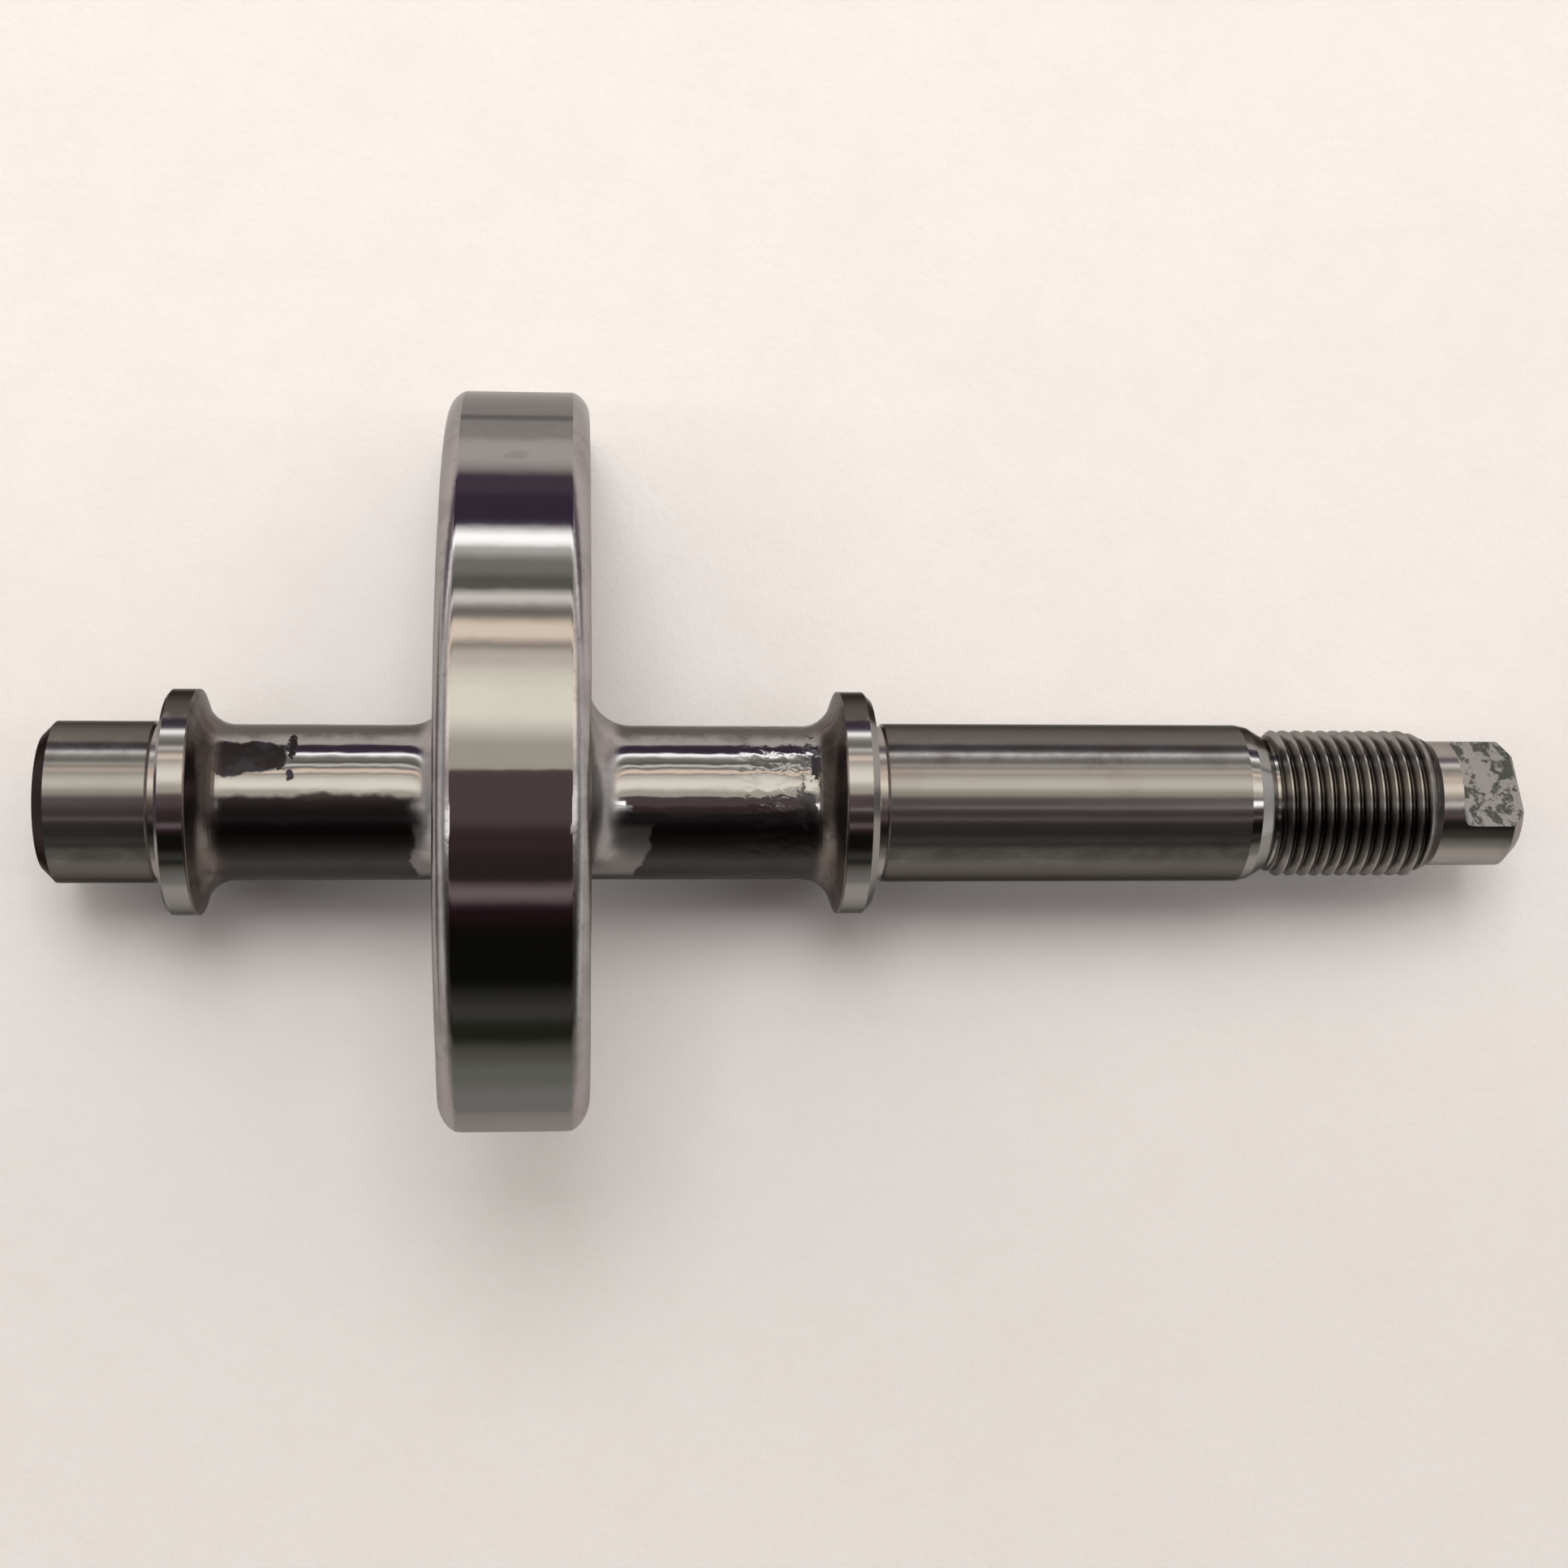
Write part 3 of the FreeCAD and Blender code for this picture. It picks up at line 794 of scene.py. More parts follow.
    def weight_rows(self) -> tuple[np.ndarray, np.ndarray, np.ndarray, np.ndarray]:
        """Places, rim radii, insets and turning angles of the weight's rows along the shaft."""
        z = self.sizes
        edge = z.weight_edge_round
        centre = z.weight + z.weight_turning - edge
        crease = math.asin((z.weight - centre) / edge)
        turns = np.concatenate([
            np.linspace(0.0, crease, self.edge_steps + 1),
            np.linspace(crease, math.pi / 2, self.crease_steps + 1)[1:]])
        near = z.near + edge * (1 - np.cos(turns))
        radii = np.minimum(centre + edge * np.sin(turns), z.weight)
        inset = edge * (1 - np.sin(turns))
        flat = np.linspace(z.near + edge, z.far - edge, self.flat_steps + 1)[1:-1]
        places = np.concatenate([near, flat, z.far - (near - z.near)[::-1]])
        radii = np.concatenate([radii, np.full(len(flat), z.weight), radii[::-1]])
        insets = np.concatenate([inset, np.zeros(len(flat)), inset[::-1]])
        angles = np.concatenate([turns, np.full(len(flat), math.pi / 2), math.pi - turns[::-1]])
        return places, radii, insets, angles

    def add_weight(self) -> None:
        """Rim, flat sides, radial sides with their root fillets, and the necks next to them."""
        z = self.sizes
        places, radii, insets, angles = self.weight_rows()
        rim = self.put(places[:, None], radii[:, None], self.fan(z.half_span - np.arcsin(insets / radii)))
        finish = np.full((len(places) - 1, self.side_columns), FINISHES.index(Finish.FORGED))
        finish[self.edge_steps:-self.edge_steps] = FINISHES.index(Finish.RIM)
        self.shell.add_sheet(rim, finish)

        walls = np.linspace(float(radii[0]), z.hub, self.wall_rows + 1)
        apart = self.fan(z.half_span - np.arcsin(z.weight_edge_round / walls))
        roll = np.linspace(0.0, math.pi / 2, self.root_steps + 1)[:, None]
        for place, away in ((z.near, -1.0), (z.far, 1.0)):
            self.shell.add_sheet(self.put(place, walls[:, None], apart), Finish.FORGED)
            across = place + away * z.weight_root * (1 - np.cos(roll))
            root = self.put(across, z.hub - z.weight_root * np.sin(roll), apart[-1])
            self.shell.add_sheet(root, Finish.FORGED)

        feet = []
        for side in (1.0, -1.0):
            sheet, foot = self.radial_side(side, places, radii, insets, angles)
            self.shell.add_sheet(sheet, Finish.FORGED)
            feet.append(foot)
        self.add_underside(*feet, apart[-1])

    def radial_side(
        self, side: float, places: np.ndarray, radii: np.ndarray, insets: np.ndarray, angles: np.ndarray,
    ) -> tuple[np.ndarray, np.ndarray]:
        """One radial side from the rim down to the neck.

        Args:
            side: 1 for the side past the last column, -1 for the other.
            places: rows along the shaft.
            radii: rim radius of each row.
            insets: how far each row's edge round stands back.
            angles: turning angle of each row's edge round.

        Returns:
            The sheet of points, and the angle from the weight's middle and place of its foot on the neck.
        """
        z = self.sizes
        ball_across = places - z.weight_root * np.cos(angles)
        ball_aside = -insets + z.weight_root * np.sin(angles)
        ball_up = np.sqrt(z.hub ** 2 - ball_aside ** 2)
        foot_radii = np.hypot(ball_up, insets)
        rows = []
        for share in np.linspace(0.0, 1.0, self.wall_rows + 1):
            up = np.sqrt((radii + (foot_radii - radii) * share) ** 2 - insets ** 2)
            rows.append(np.stack([places, -insets, up], axis=-1))
        ball = np.stack([ball_across, ball_aside, ball_up], axis=-1)
        start = np.stack([places, -insets, ball_up], axis=-1) - ball
        foot = np.stack([ball_across, ball_aside * z.neck / z.hub, ball_up * z.neck / z.hub], axis=-1) - ball
        start = start / np.linalg.norm(start, axis=-1, keepdims=True)
        foot = foot / np.linalg.norm(foot, axis=-1, keepdims=True)
        sweep = np.arccos(np.clip((start * foot).sum(axis=-1), -1.0, 1.0))[:, None]
        for share in np.linspace(0.0, 1.0, self.root_steps + 1)[1:]:
            rows.append(ball + swing(start, foot, sweep, share) * z.weight_root)
        local = np.array(rows)
        edge = side * z.half_span + z.middle
        out = np.array([math.cos(edge), math.sin(edge)])
        along = np.array([-out[1], out[0]]) * side
        sheet = np.empty_like(local)
        sheet[..., 0] = local[..., 0]
        sheet[..., 1:] = local[..., 1:2] * along + local[..., 2:3] * out
        last = local[-1]
        apart = z.half_span + np.arctan2(last[:, 1], last[:, 2])
        return sheet, np.stack([last[:, 0], side * apart], axis=-1)

    def add_underside(self, first: np.ndarray, last: np.ndarray, top: np.ndarray) -> None:
        """Underside of the neck between the two radial sides, and the necks out to the flanks.

        Args:
            first: places and angles of the first radial side's foot.
            last: places and angles of the other one's.
            top: angles of the columns under the weight's sides.
        """
        z = self.sizes
        shares = np.linspace(0.0, 1.0, COLUMNS - self.side_columns + 1)
        across = first[:, :1] + (last[:, :1] - first[:, :1]) * shares
        apart = first[:, 1:] + (last[:, 1:] + 2 * math.pi - first[:, 1:]) * shares
        self.shell.add_sheet(self.put(across, z.neck, apart), Finish.FORGED)

        even = self.columns_apart()
        starts = (z.near - z.weight_root, z.far + z.weight_root)
        for place, end, under in zip(starts, self.neck_ends(), (apart[0], apart[-1])):
            tight = np.concatenate([top, under[1:-1]])
            steps = math.ceil(abs(end - place) / self.neck_step)
            rows = place + (end - place) * np.arange(steps + 1) / steps
            mix = np.clip(np.abs(rows - place) / self.blend, 0.0, 1.0)[:, None]
            mix = mix * mix * (3 - 2 * mix)
            self.shell.add_sheet(
                self.put(rows[:, None], z.neck, tight + (even - tight) * mix), Finish.FORGED, closed=True)

    def tip_ring(self, across: float, radius: float, depth: float, cut: bool = True) -> np.ndarray:
        """Ring of the tip: the flats' columns lie on a chord where it is cut.

        Args:
            across: X in millimetres.
            radius: radius of the tip there.
            depth: how far the flats are from the axis.
            cut: False for a ring that stays round.

        Returns:
            The ring's points, one a column.
        """
        half, flat = COLUMNS // 2, self.flat_columns
        edge = math.acos(min(1.0, depth / radius))
        step = np.arange(half + 1)
        turn = np.interp(step, [0, flat, half - flat, half], [0.0, edge, math.pi - edge, math.pi])
        out, aside = radius * np.cos(turn), radius * np.sin(turn)
        if cut:
            chord = radius * math.sin(edge)
            for on_flat, away, share in (
                    (step <= flat, depth, step / flat), (step >= half - flat, -depth, (half - step) / flat)):
                out = np.where(on_flat, away, out)
                aside = np.where(on_flat, chord * share, aside)
        order = (np.arange(COLUMNS) - self.side_columns // 2) % COLUMNS
        out = np.concatenate([out, out[-2:0:-1]])[order]
        aside = np.concatenate([aside, -aside[-2:0:-1]])[order]
        return self.put(across, np.hypot(out, aside), np.arctan2(aside, out))

    def add_tip(self) -> None:
        """Plain tip with its two milled flats, its end chamfer and its end face."""
        z = self.sizes
        half_tongue, flat = z.tongue / 2, self.flat_columns
        root, chamfer = z.tongue_start + z.tongue_root, z.high_end - z.tip_chamfer
        even = self.columns_apart() + z.middle
        target = self.tip_ring(z.tongue_start, z.tip, half_tongue + z.tongue_root, cut=False)
        gap = (np.arctan2(target[:, 2], target[:, 1]) - even + math.pi) % (2 * math.pi) - math.pi
        blended = [
            around(z.thread_stop + (z.tongue_start - z.thread_stop) * share, z.tip, even + gap * share)
            for share in np.linspace(0.0, 1.0, 7)]
        cut = [
            self.tip_ring(root - z.tongue_root * math.cos(turn), z.tip,
                          half_tongue + z.tongue_root * (1 - math.sin(turn)))
            for turn in np.linspace(0.0, math.pi / 2, 8)]
        cut += [self.tip_ring(across, z.tip, half_tongue) for across in np.linspace(root, chamfer, 8)[1:]]
        cut += [
            self.tip_ring(chamfer + z.tip_chamfer * share, z.tip - z.tip_chamfer * share, half_tongue)
            for share in (0.05, 0.35, 0.65, 0.95, 1.0)]
        step = (np.arange(COLUMNS) - self.side_columns // 2) % (COLUMNS // 2)
        on_flat = (step < flat) | (step >= COLUMNS // 2 - flat)
        sheet = np.array(blended + cut)
        finish = np.full((len(sheet) - 1, COLUMNS), FINISHES.index(Finish.TIP))
        finish[len(blended) - 1:, on_flat] = FINISHES.index(Finish.MILLED)
        self.shell.add_sheet(sheet, finish, closed=True)

        outline = sheet[-1]
        mouth = around(z.high_end, z.mouth, even)
        face = [outline + (mouth - outline) * share for share in (0.0, 0.03, 0.3, 0.6, 0.97, 1.0)]
        self.shell.add_sheet(np.array(face), Finish.MILLED, closed=True)

    def weld(self) -> bpy.types.Object:
        """Weld the shell into one closed mesh and dress it.

        Returns:
            The object, at the origin.
        """
        mesh = bpy.data.meshes.new(PIECE)
        points = np.concatenate(self.shell.points) * MM
        mesh.from_pydata(points.tolist(), [], self.shell.faces)
        for finish in FINISHES:
            mesh.materials.append(self.materials[finish])
        mesh.polygons.foreach_set("material_index", self.shell.finishes)
        work = bmesh.new()
        work.from_mesh(mesh)
        bmesh.ops.remove_doubles(work, verts=work.verts, dist=SEAM_WELD)
        bmesh.ops.dissolve_degenerate(work, dist=DEGENERATE, edges=work.edges)
        bmesh.ops.recalc_face_normals(work, faces=work.faces)
        open_edges = sum(1 for edge in work.edges if len(edge.link_faces) != 2)
        LOG.info("open edges: %d, volume %.0f mm3", open_edges, work.calc_volume() / MM ** 3)
        for face in work.faces:
            face.smooth = True
        work.to_mesh(mesh)
        work.free()
        piece = bpy.data.objects.new(PIECE, mesh)
        bpy.context.scene.collection.objects.link(piece)
        self.forge(piece)
        self.crease(piece.data)
        return piece

    def forge(self, piece: bpy.types.Object) -> None:
        """Give the forged lengths their waves.

        Args:
            piece: the welded shaft.
        """
        z = self.sizes
        piece.data = SkinTree().run(piece, {
            "Start": z.short_land_end, "End": z.long_land_end, "Rim": z.weight - self.rim_gap,
            "Wave": self.wave, "Ripple": self.ripple, "Hammer": self.hammer, "Neck": z.neck,
            "Hammer start": z.long_shoulder - self.hammer_reach,
            "Hammer end": z.long_shoulder - self.hammer_gap, "Seed": self.wave_seed,
            "Finish": self.materials[Finish.FORGED]})
        piece.data.name = PIECE

    def crease(self, mesh: bpy.types.Mesh) -> None:
        """Mark the turned corners sharp.

        Args:
            mesh: the shaft's mesh.
        """
        work = bmesh.new()
        work.from_mesh(mesh)
        for edge in work.edges:
            edge.smooth = edge.calc_face_angle(0.0) < SMOOTH_ANGLE
        work.to_mesh(mesh)
        work.free()


# Finishes


@dataclass(frozen=True)
class Spot:
    """Where a point lies on the shaft, as the finishes see it, in millimetres and radians."""

    make: Maker
    place: Value
    across: Value
    aside: Value
    up: Value
    angle: Value
    radius: Value

    @classmethod
    def on(cls, make: Maker) -> "Spot":
        """Read the point's place, its angle from +Z towards +Y and its radius."""
        place = make.node("ShaderNodeTexCoord", {}, {}, "Object")
        across, aside, up = make.split(place)
        radius = make.vector("LENGTH", make.combine(0.0, aside, up), output="Value")
        return cls(make, place, across / MM, aside / MM, up / MM, aside.math("ARCTAN2", up), radius / MM)

    def noise(self, scale: float, detail: float = 2.0, roughness: float = 0.5, twist: float = 0.0) -> Value:
        """Noise over the surface; the scale is in cycles a metre."""
        return self.make.noise(self.place, scale, detail, roughness, twist)

    def lines(self, scale: float) -> Value:
        """Fine lines round the shaft; the scale is in lines a millimetre."""
        return self.make.noise(self.make.combine(self.across * scale, self.angle * 2.5, 0.0), 1.0, 2.0, 0.7)

    def within(self, start: float, full: float, fading: float, end: float) -> Value:
        """1 from full to fading along the shaft, 0 before the start and past the end."""
        return self.across.ramp(start, full) * self.across.ramp(end, fading)

    def oval(
        self, across: float, degrees: float, length: float, width: float, ragged: float, scale: float,
    ) -> Value:
        """Ragged oval spot round a place along the shaft and an angle from +Z towards +Y.

        Args:
            across: X of its middle, in millimetres.
            degrees: its angle.
            length: half length along the shaft, in millimetres.
            width: half width round the shaft, in degrees.
            ragged: how far noise moves its edge, as a share of its size.
            scale: scale of that noise.

        Returns:
            0 outside, 1 inside.
        """
        along = (self.across - across) / length
        aside = (self.angle - math.radians(degrees)) / math.radians(width)
        reach = (along * along + aside * aside).math("SQRT")
        return (reach + (self.noise(scale, 3.0, 0.6, 0.3) - 0.5) * ragged).ramp(1.08, 0.92)


@dataclass(frozen=True)
class Steel:
    """Bare steel: colour, gloss and fine relief as one operation leaves them, and painted shade on its sides.
    """

    name: str
    colour: Colour
    roughness: float
    cloud_colour: Colour = (0.27, 0.255, 0.24)
    cloud_share: float = 0.4
    cloud_scale: float = 130.0
    roughness_spread: float = 0.04
    line_depth: float = 0.0
    edge_tint: float = 0.6
    # Painted shade on the sides: its strength, the angle where it starts, its softness, whether the lower
    # side gets it too, and its colour.
    side_shade: float = 0.0
    side_shade_from: float = 0.7
    side_shade_soft: float = 0.4
    side_shade_below: bool = True
    metallic: float = 1.0
    side_shade_colour: Colour = (0.085, 0.072, 0.066)

    def build(self) -> bpy.types.Material:
        """Build the material.

        Returns:
            The material, with one metal shader.
        """
        material = bpy.data.materials.new(self.name)
        make = empty_tree(material)
        spot = Spot.on(make)
        shader = {
            "Base Color": self.shade(spot), "Metallic": self.metallic,
            "Roughness": self.gloss(spot).most(LEAST_ROUGHNESS),
            "Specular Tint": (self.edge_tint, self.edge_tint, self.edge_tint, 1.0)}
        height = self.relief(spot)
        if height is not None:
            shader["Normal"] = make.bump(height)
        make.surface(shader)
        return material

    def shade(self, spot: Spot) -> Value:
        """Colour: steel with clouds of a duller one, and painted shade darkening the sides away from straight
        up.
        """
        cloud = spot.noise(self.cloud_scale, 3.0, 0.6, 0.4).ramp(0.45, 0.75)
        colour = spot.make.mix(cloud * self.cloud_share, self.colour, self.cloud_colour)
        if not self.side_shade:
            return colour
        # Painted shade: the colour darkens where the surface turns away from straight up, on both sides or on
        # the +Y side only.
        side = spot.angle.math("ABSOLUTE") if self.side_shade_below else spot.angle
        side = side + (spot.noise(340.0, 4.0, 0.65) - 0.5) * self.side_shade_soft * 2.0
        share = side.ramp(self.side_shade_from, self.side_shade_from + self.side_shade_soft) * self.side_shade
        return spot.make.mix(share, colour, self.side_shade_colour)

    def gloss(self, spot: Spot) -> Value:
        """Roughness: clouds and fine lines round the shaft."""
        cloud = spot.noise(95.0, 3.0, 0.6) + spot.lines(9.0) - 1.0
        return self.roughness + cloud * self.roughness_spread

    def relief(self, spot: Spot) -> Value | None:
        """Height in millimetres: fine lines round the shaft, where the finish has them."""
        return spot.lines(9.0) * self.line_depth if self.line_depth else None


@dataclass(frozen=True)
class TurnedRim(Steel):
    """Mirror-bright turned rim: duller with painted shade where it runs out, one thin dark line and one pit.
    """

    dull_from: float = 53.0
    dull_soft: float = 2.5
    dull_and_shade_colour: Colour = (0.15, 0.145, 0.145)
    line_at: float = 61.2
    line_colour: Colour = (0.07, 0.07, 0.07)
    pit_place: float = 33.5
    pit_angle: float = 50.5
    pit_colour: Colour = (0.08, 0.08, 0.085)

    def dull(self, spot: Spot) -> Value:
        """1 on the dull stretch of the rim."""
        edge = (spot.noise(420.0, 3.0, 0.6) - 0.5) * 0.05
        return (spot.angle + edge).ramp(
            math.radians(self.dull_from), math.radians(self.dull_from + self.dull_soft))

    def shade(self, spot: Spot) -> Value:
        """Steel with a darker stretch (a duller finish with painted shade), its line and its pit."""
        make = spot.make
        # Painted shade over a duller finish: the colour darkens past dull_from, mottled by noise.
        dull = self.dull(spot) * (0.5 + spot.noise(700.0, 3.0, 0.65) * 0.5)
        colour = make.mix(dull * 0.75, super().shade(spot), self.dull_and_shade_colour)
        offset = (spot.angle - math.radians(self.line_at)).math("ABSOLUTE")
        colour = make.mix(offset.ramp(math.radians(1.6), math.radians(0.3)) * 0.7, colour, self.line_colour)
        pit = spot.oval(self.pit_place, self.pit_angle, 1.1, 0.9, 1.6, 1200.0)
        return make.mix(pit * 0.22, colour, self.pit_colour)

    def gloss(self, spot: Spot) -> Value:
        """Rougher on the dull stretch."""
        return super().gloss(spot) + self.dull(spot) * 0.16

    def relief(self, spot: Spot) -> Value:
        """Turning lines and the faint waves of the cut."""
        return super().relief(spot) + spot.noise(240.0, 2.0, 0.55) * 0.008


@dataclass(frozen=True)
class ForgedSkin(Steel):
    """Forged skin: bright wavy necks with black scale below, and rough brown flanks and sides."""

    scale_colour: Colour = (0.04, 0.036, 0.035)
    blot_colour: Colour = (0.02, 0.0145, 0.0145)
    blot_tint: Colour = (0.038, 0.035, 0.044)
    bare_colour: Colour = (0.28, 0.262, 0.258)
    flank_colour: Colour = (0.2, 0.172, 0.158)
    side_colour: Colour = (0.41, 0.385, 0.38)
    stain_colour: Colour = (0.075, 0.062, 0.056)
    wall_roughness: float = 0.3
    wall_radii: tuple[float, float] = (7.28, 7.75)
    rim_radii: tuple[float, float] = (36.2, 37.0)
    round_weight: tuple[float, float, float, float] = (14.0, 20.0, 48.0, 54.0)
    hammered: tuple[float, float, float, float] = (51.5, 56.5, 60.6, 61.4)
    large_blots: tuple[tuple[float, float, float, float], ...] = (
        (7.4, 34.0, 2.1, 16.0), (9.8, 36.0, 2.9, 14.0))
    specks: tuple[tuple[float, float, float, float], ...] = (
        (11.6, 41.0, 0.6, 6.0), (12.0, 28.0, 0.4, 4.0), (12.9, 46.0, 0.4, 13.0), (12.8, 20.0, 0.35, 4.0),
        (60.6, 27.0, 0.45, 10.0))
    crumpled: tuple[float, float, float, float] = (59.9, 22.0, 1.3, 40.0)
    weight_start: float = 27.1
    weight_end: float = 39.7

    def wall(self, spot: Spot) -> Value:
        """1 on the flanks and the weight's sides, 0 on the necks."""
        return (spot.radius + (spot.noise(500.0) - 0.5) * 0.2).ramp(*self.wall_radii)

    def scaled(self, spot: Spot) -> Value:
        """1 where a neck keeps its black scale: the lower half."""
        edge = (spot.noise(110.0, 2.0, 0.5, 0.3) - 0.5) * 1.8 + (spot.noise(700.0, 2.0, 0.6) - 0.5) * 0.7
        start = 0.7 - spot.across.ramp(self.weight_start - 10.0, self.weight_end + 4.0) * 1.5
        return (start - spot.aside + edge).ramp(-0.3, 0.3)

    def bare(self, spot: Spot) -> Value:
        """1 on the patches beside the weight where the scale is off."""
        edge = (spot.noise(260.0, 3.0, 0.6) - 0.5) * 4.5
        low = (spot.aside * -1.0).ramp(1.6, 2.6) * spot.aside.ramp(-7.0, -6.4)
        left = (spot.across + edge).ramp(self.weight_start - 3.3, self.weight_start - 2.9)
        right = (spot.across + edge - spot.aside * 0.35).ramp(self.weight_end + 7.0, self.weight_end + 6.5)
        return low * left * right

    def blots(self, spot: Spot) -> Value:
        """1 on the dark ragged blots of the upper side."""
        ovals = [spot.oval(*blot, 0.6, 450.0) for blot in self.large_blots]
        ovals += [spot.oval(*speck, 2.2, 2600.0) for speck in self.specks]
        crumpled = spot.noise(650.0, 3.0, 0.6, 0.5).ramp(0.5, 0.58)
        ovals.append(crumpled * spot.oval(*self.crumpled, 0.6, 500.0) * 0.8)
        return reduce(Value.most, ovals)

    def shade(self, spot: Spot) -> Value:
        """Steel, blots, scale and bare patches on the necks, brown stained steel on the walls."""
        make = spot.make
        blot = make.mix(spot.noise(330.0, 3.0, 0.6).ramp(0.42, 0.6), self.blot_colour, self.blot_tint)
        neck = make.mix(self.blots(spot) * 0.96, super().shade(spot), blot)
        neck = make.mix(self.scaled(spot) * 0.92, neck, self.scale_colour)
        neck = make.mix(self.bare(spot) * 0.9, neck, self.bare_colour)
        beside = spot.within(*self.round_weight)
        wall = make.mix(beside, self.flank_colour, self.side_colour)
        stain = spot.noise(190.0, 4.0, 0.62, 0.6).ramp(0.46, 0.66)
        wall = make.mix(stain * (0.8 - beside * 0.55), wall, self.stain_colour)
        speck = spot.noise(1300.0, 2.0, 0.6).ramp(0.6, 0.72)
        wall = make.mix(speck * (0.45 - beside * 0.25), wall, self.stain_colour)
        return make.mix(self.wall(spot), neck, wall)

    def gloss(self, spot: Spot) -> Value:
        """Walls are rough, scale and bare patches less so."""
        rougher = self.scaled(spot) * 0.18 + self.blots(spot) * 0.38 + self.bare(spot) * 0.14
        wall = self.wall(spot)
        rough_wall = (1.0 - spot.radius.ramp(*self.rim_radii) * 0.4) * (self.wall_roughness - self.roughness)
        return super().gloss(spot) + rougher * (1.0 - wall) + wall * rough_wall

    def relief(self, spot: Spot) -> Value:
        """Soft pits, deeper on the walls and the scale, and fine dents on the hammered stretch."""
        pits = spot.noise(1100.0, 3.0, 0.6) + spot.noise(380.0, 2.0, 0.5) * 1.6
        hammered = spot.within(*self.hammered) * (1.0 - self.wall(spot))
        dents = spot.noise(850.0, 2.0, 0.5, 0.8) * hammered * 0.034
        return pits * (0.0015 + self.wall(spot) * 0.012 + self.scaled(spot) * 0.006) + dents


@dataclass(frozen=True)
class RolledThread(Steel):
    """Thread with bright crests and dark roots, where oily dirt and painted shade darken it."""

    crest: float = 6.66
    root: float = 6.34
    dirt_colour: Colour = (0.12, 0.1, 0.09)
    root_oil_and_shade_colour: Colour = (0.04, 0.034, 0.03)

    def shade(self, spot: Spot) -> Value:
        """Steel with random dirt, darkened towards the root by oil and painted shade."""
        # Oil and painted shade in the recesses: the colour darkens from the crest's radius down to the
        # root's.
        root_oil_and_shade = spot.radius.ramp(self.crest, self.root)
        dirt = spot.noise(600.0, 3.0, 0.6).ramp(0.5, 0.68)
        colour = spot.make.mix(dirt * 0.35, super().shade(spot), self.dirt_colour)
        return spot.make.mix(root_oil_and_shade * 0.93, colour, self.root_oil_and_shade_colour)


@dataclass(frozen=True)
class MilledFlat(Steel):
    """Milled flats and end faces: pale, with grey-green stains and fine scratches."""

    shaft_middle: float = 59.3
    flats_within: float = 69.1
    stain_colour: Colour = (0.04, 0.05, 0.038)
    scratch_colour: Colour = (0.5, 0.48, 0.46)

    def scratches(self, spot: Spot) -> Value:
        """Fine scratches in two directions."""
        make = spot.make
        slant = (spot.aside + spot.across * 0.3) * 9.0
        first = make.noise(make.combine(spot.across * 0.25, slant, spot.up * 9.0), 1.0, 2.0, 0.7)
        second = make.noise(make.combine(spot.across * 6.0, spot.aside * 0.5, spot.up * 0.5), 1.0, 2.0, 0.7)
        return first.ramp(0.55, 0.75) * 0.6 + second.ramp(0.6, 0.75) * 0.4

    def stains(self, spot: Spot) -> Value:
        """1 on the dark stains of the flats, less on the end faces."""
        end_face = (spot.across - self.shaft_middle).math("ABSOLUTE")
        end_face = end_face.ramp(self.flats_within, self.flats_within + 0.1)
        return spot.noise(620.0, 4.0, 0.7, 0.5).ramp(0.47, 0.56) * (1.0 - end_face * 0.7)

    def shade(self, spot: Spot) -> Value:
        """Steel, stains and scratches."""
        make = spot.make
        colour = make.mix(self.stains(spot) * 0.85, super().shade(spot), self.stain_colour)
        return make.mix(self.scratches(spot) * 0.35, colour, self.scratch_colour)

    def gloss(self, spot: Spot) -> Value:
        """Stains are duller."""
        return super().gloss(spot) + self.stains(spot) * 0.12

    def relief(self, spot: Spot) -> Value:
        """Milling marks and scratches."""
        return self.scratches(spot) * -0.004 + spot.noise(1500.0, 2.0, 0.6) * 0.004


# The side shade settings paint shade on the sides of the seats, lands, chamfer and forged skin.
FINISH_LIST: dict[Finish, Steel] = {
    Finish.GROUND: Steel(
        "ground_seat", (0.25, 0.244, 0.234), 0.17, cloud_colour=(0.19, 0.175, 0.16), cloud_share=0.35,
        line_depth=0.0014, edge_tint=0.25, side_shade=0.6, side_shade_from=0.47, metallic=0.92),
    Finish.TURNED: Steel(
        "turned_land", (0.335, 0.33, 0.322), 0.13, line_depth=0.0008, edge_tint=0.3, side_shade=0.9,
        side_shade_from=0.74, side_shade_soft=0.14, side_shade_below=False),
    # Painted dark reflection: the chamfer's steel colour is nearly black.
    Finish.CHAMFER: Steel(
        "oiled_chamfer", (0.065, 0.057, 0.055), 0.28, cloud_colour=(0.04, 0.035, 0.033), line_depth=0.002,
        edge_tint=0.3, side_shade=0.5),
    Finish.TIP: Steel(
        "plain_tip", (0.36, 0.335, 0.32), 0.22, cloud_colour=(0.2, 0.18, 0.165), cloud_scale=300.0,
        line_depth=0.002),
    Finish.RIM: TurnedRim("turned_rim", (0.335, 0.33, 0.32), 0.05, cloud_share=0.15, line_depth=0.0003),
    Finish.FORGED: ForgedSkin(
        "forged_skin", (0.33, 0.325, 0.32), 0.08, cloud_share=0.25, side_shade=0.75, side_shade_from=0.85,
        side_shade_soft=0.25),
    Finish.THREAD: RolledThread("rolled_thread", (0.31, 0.295, 0.28), 0.24, cloud_share=0.5),
    Finish.MILLED: MilledFlat("milled_flat", (0.34, 0.33, 0.325), 0.3, roughness_spread=0.15),
    Finish.CENTRE: Steel("centre_hole", (0.3, 0.295, 0.29), 0.3),
}


# Studio


@dataclass(frozen=True)
class Band:
    """One band of the room round the shaft, by the angle from straight up towards +Y."""

    name: str
    start: float
    end: float
    colour: Colour
    light: float


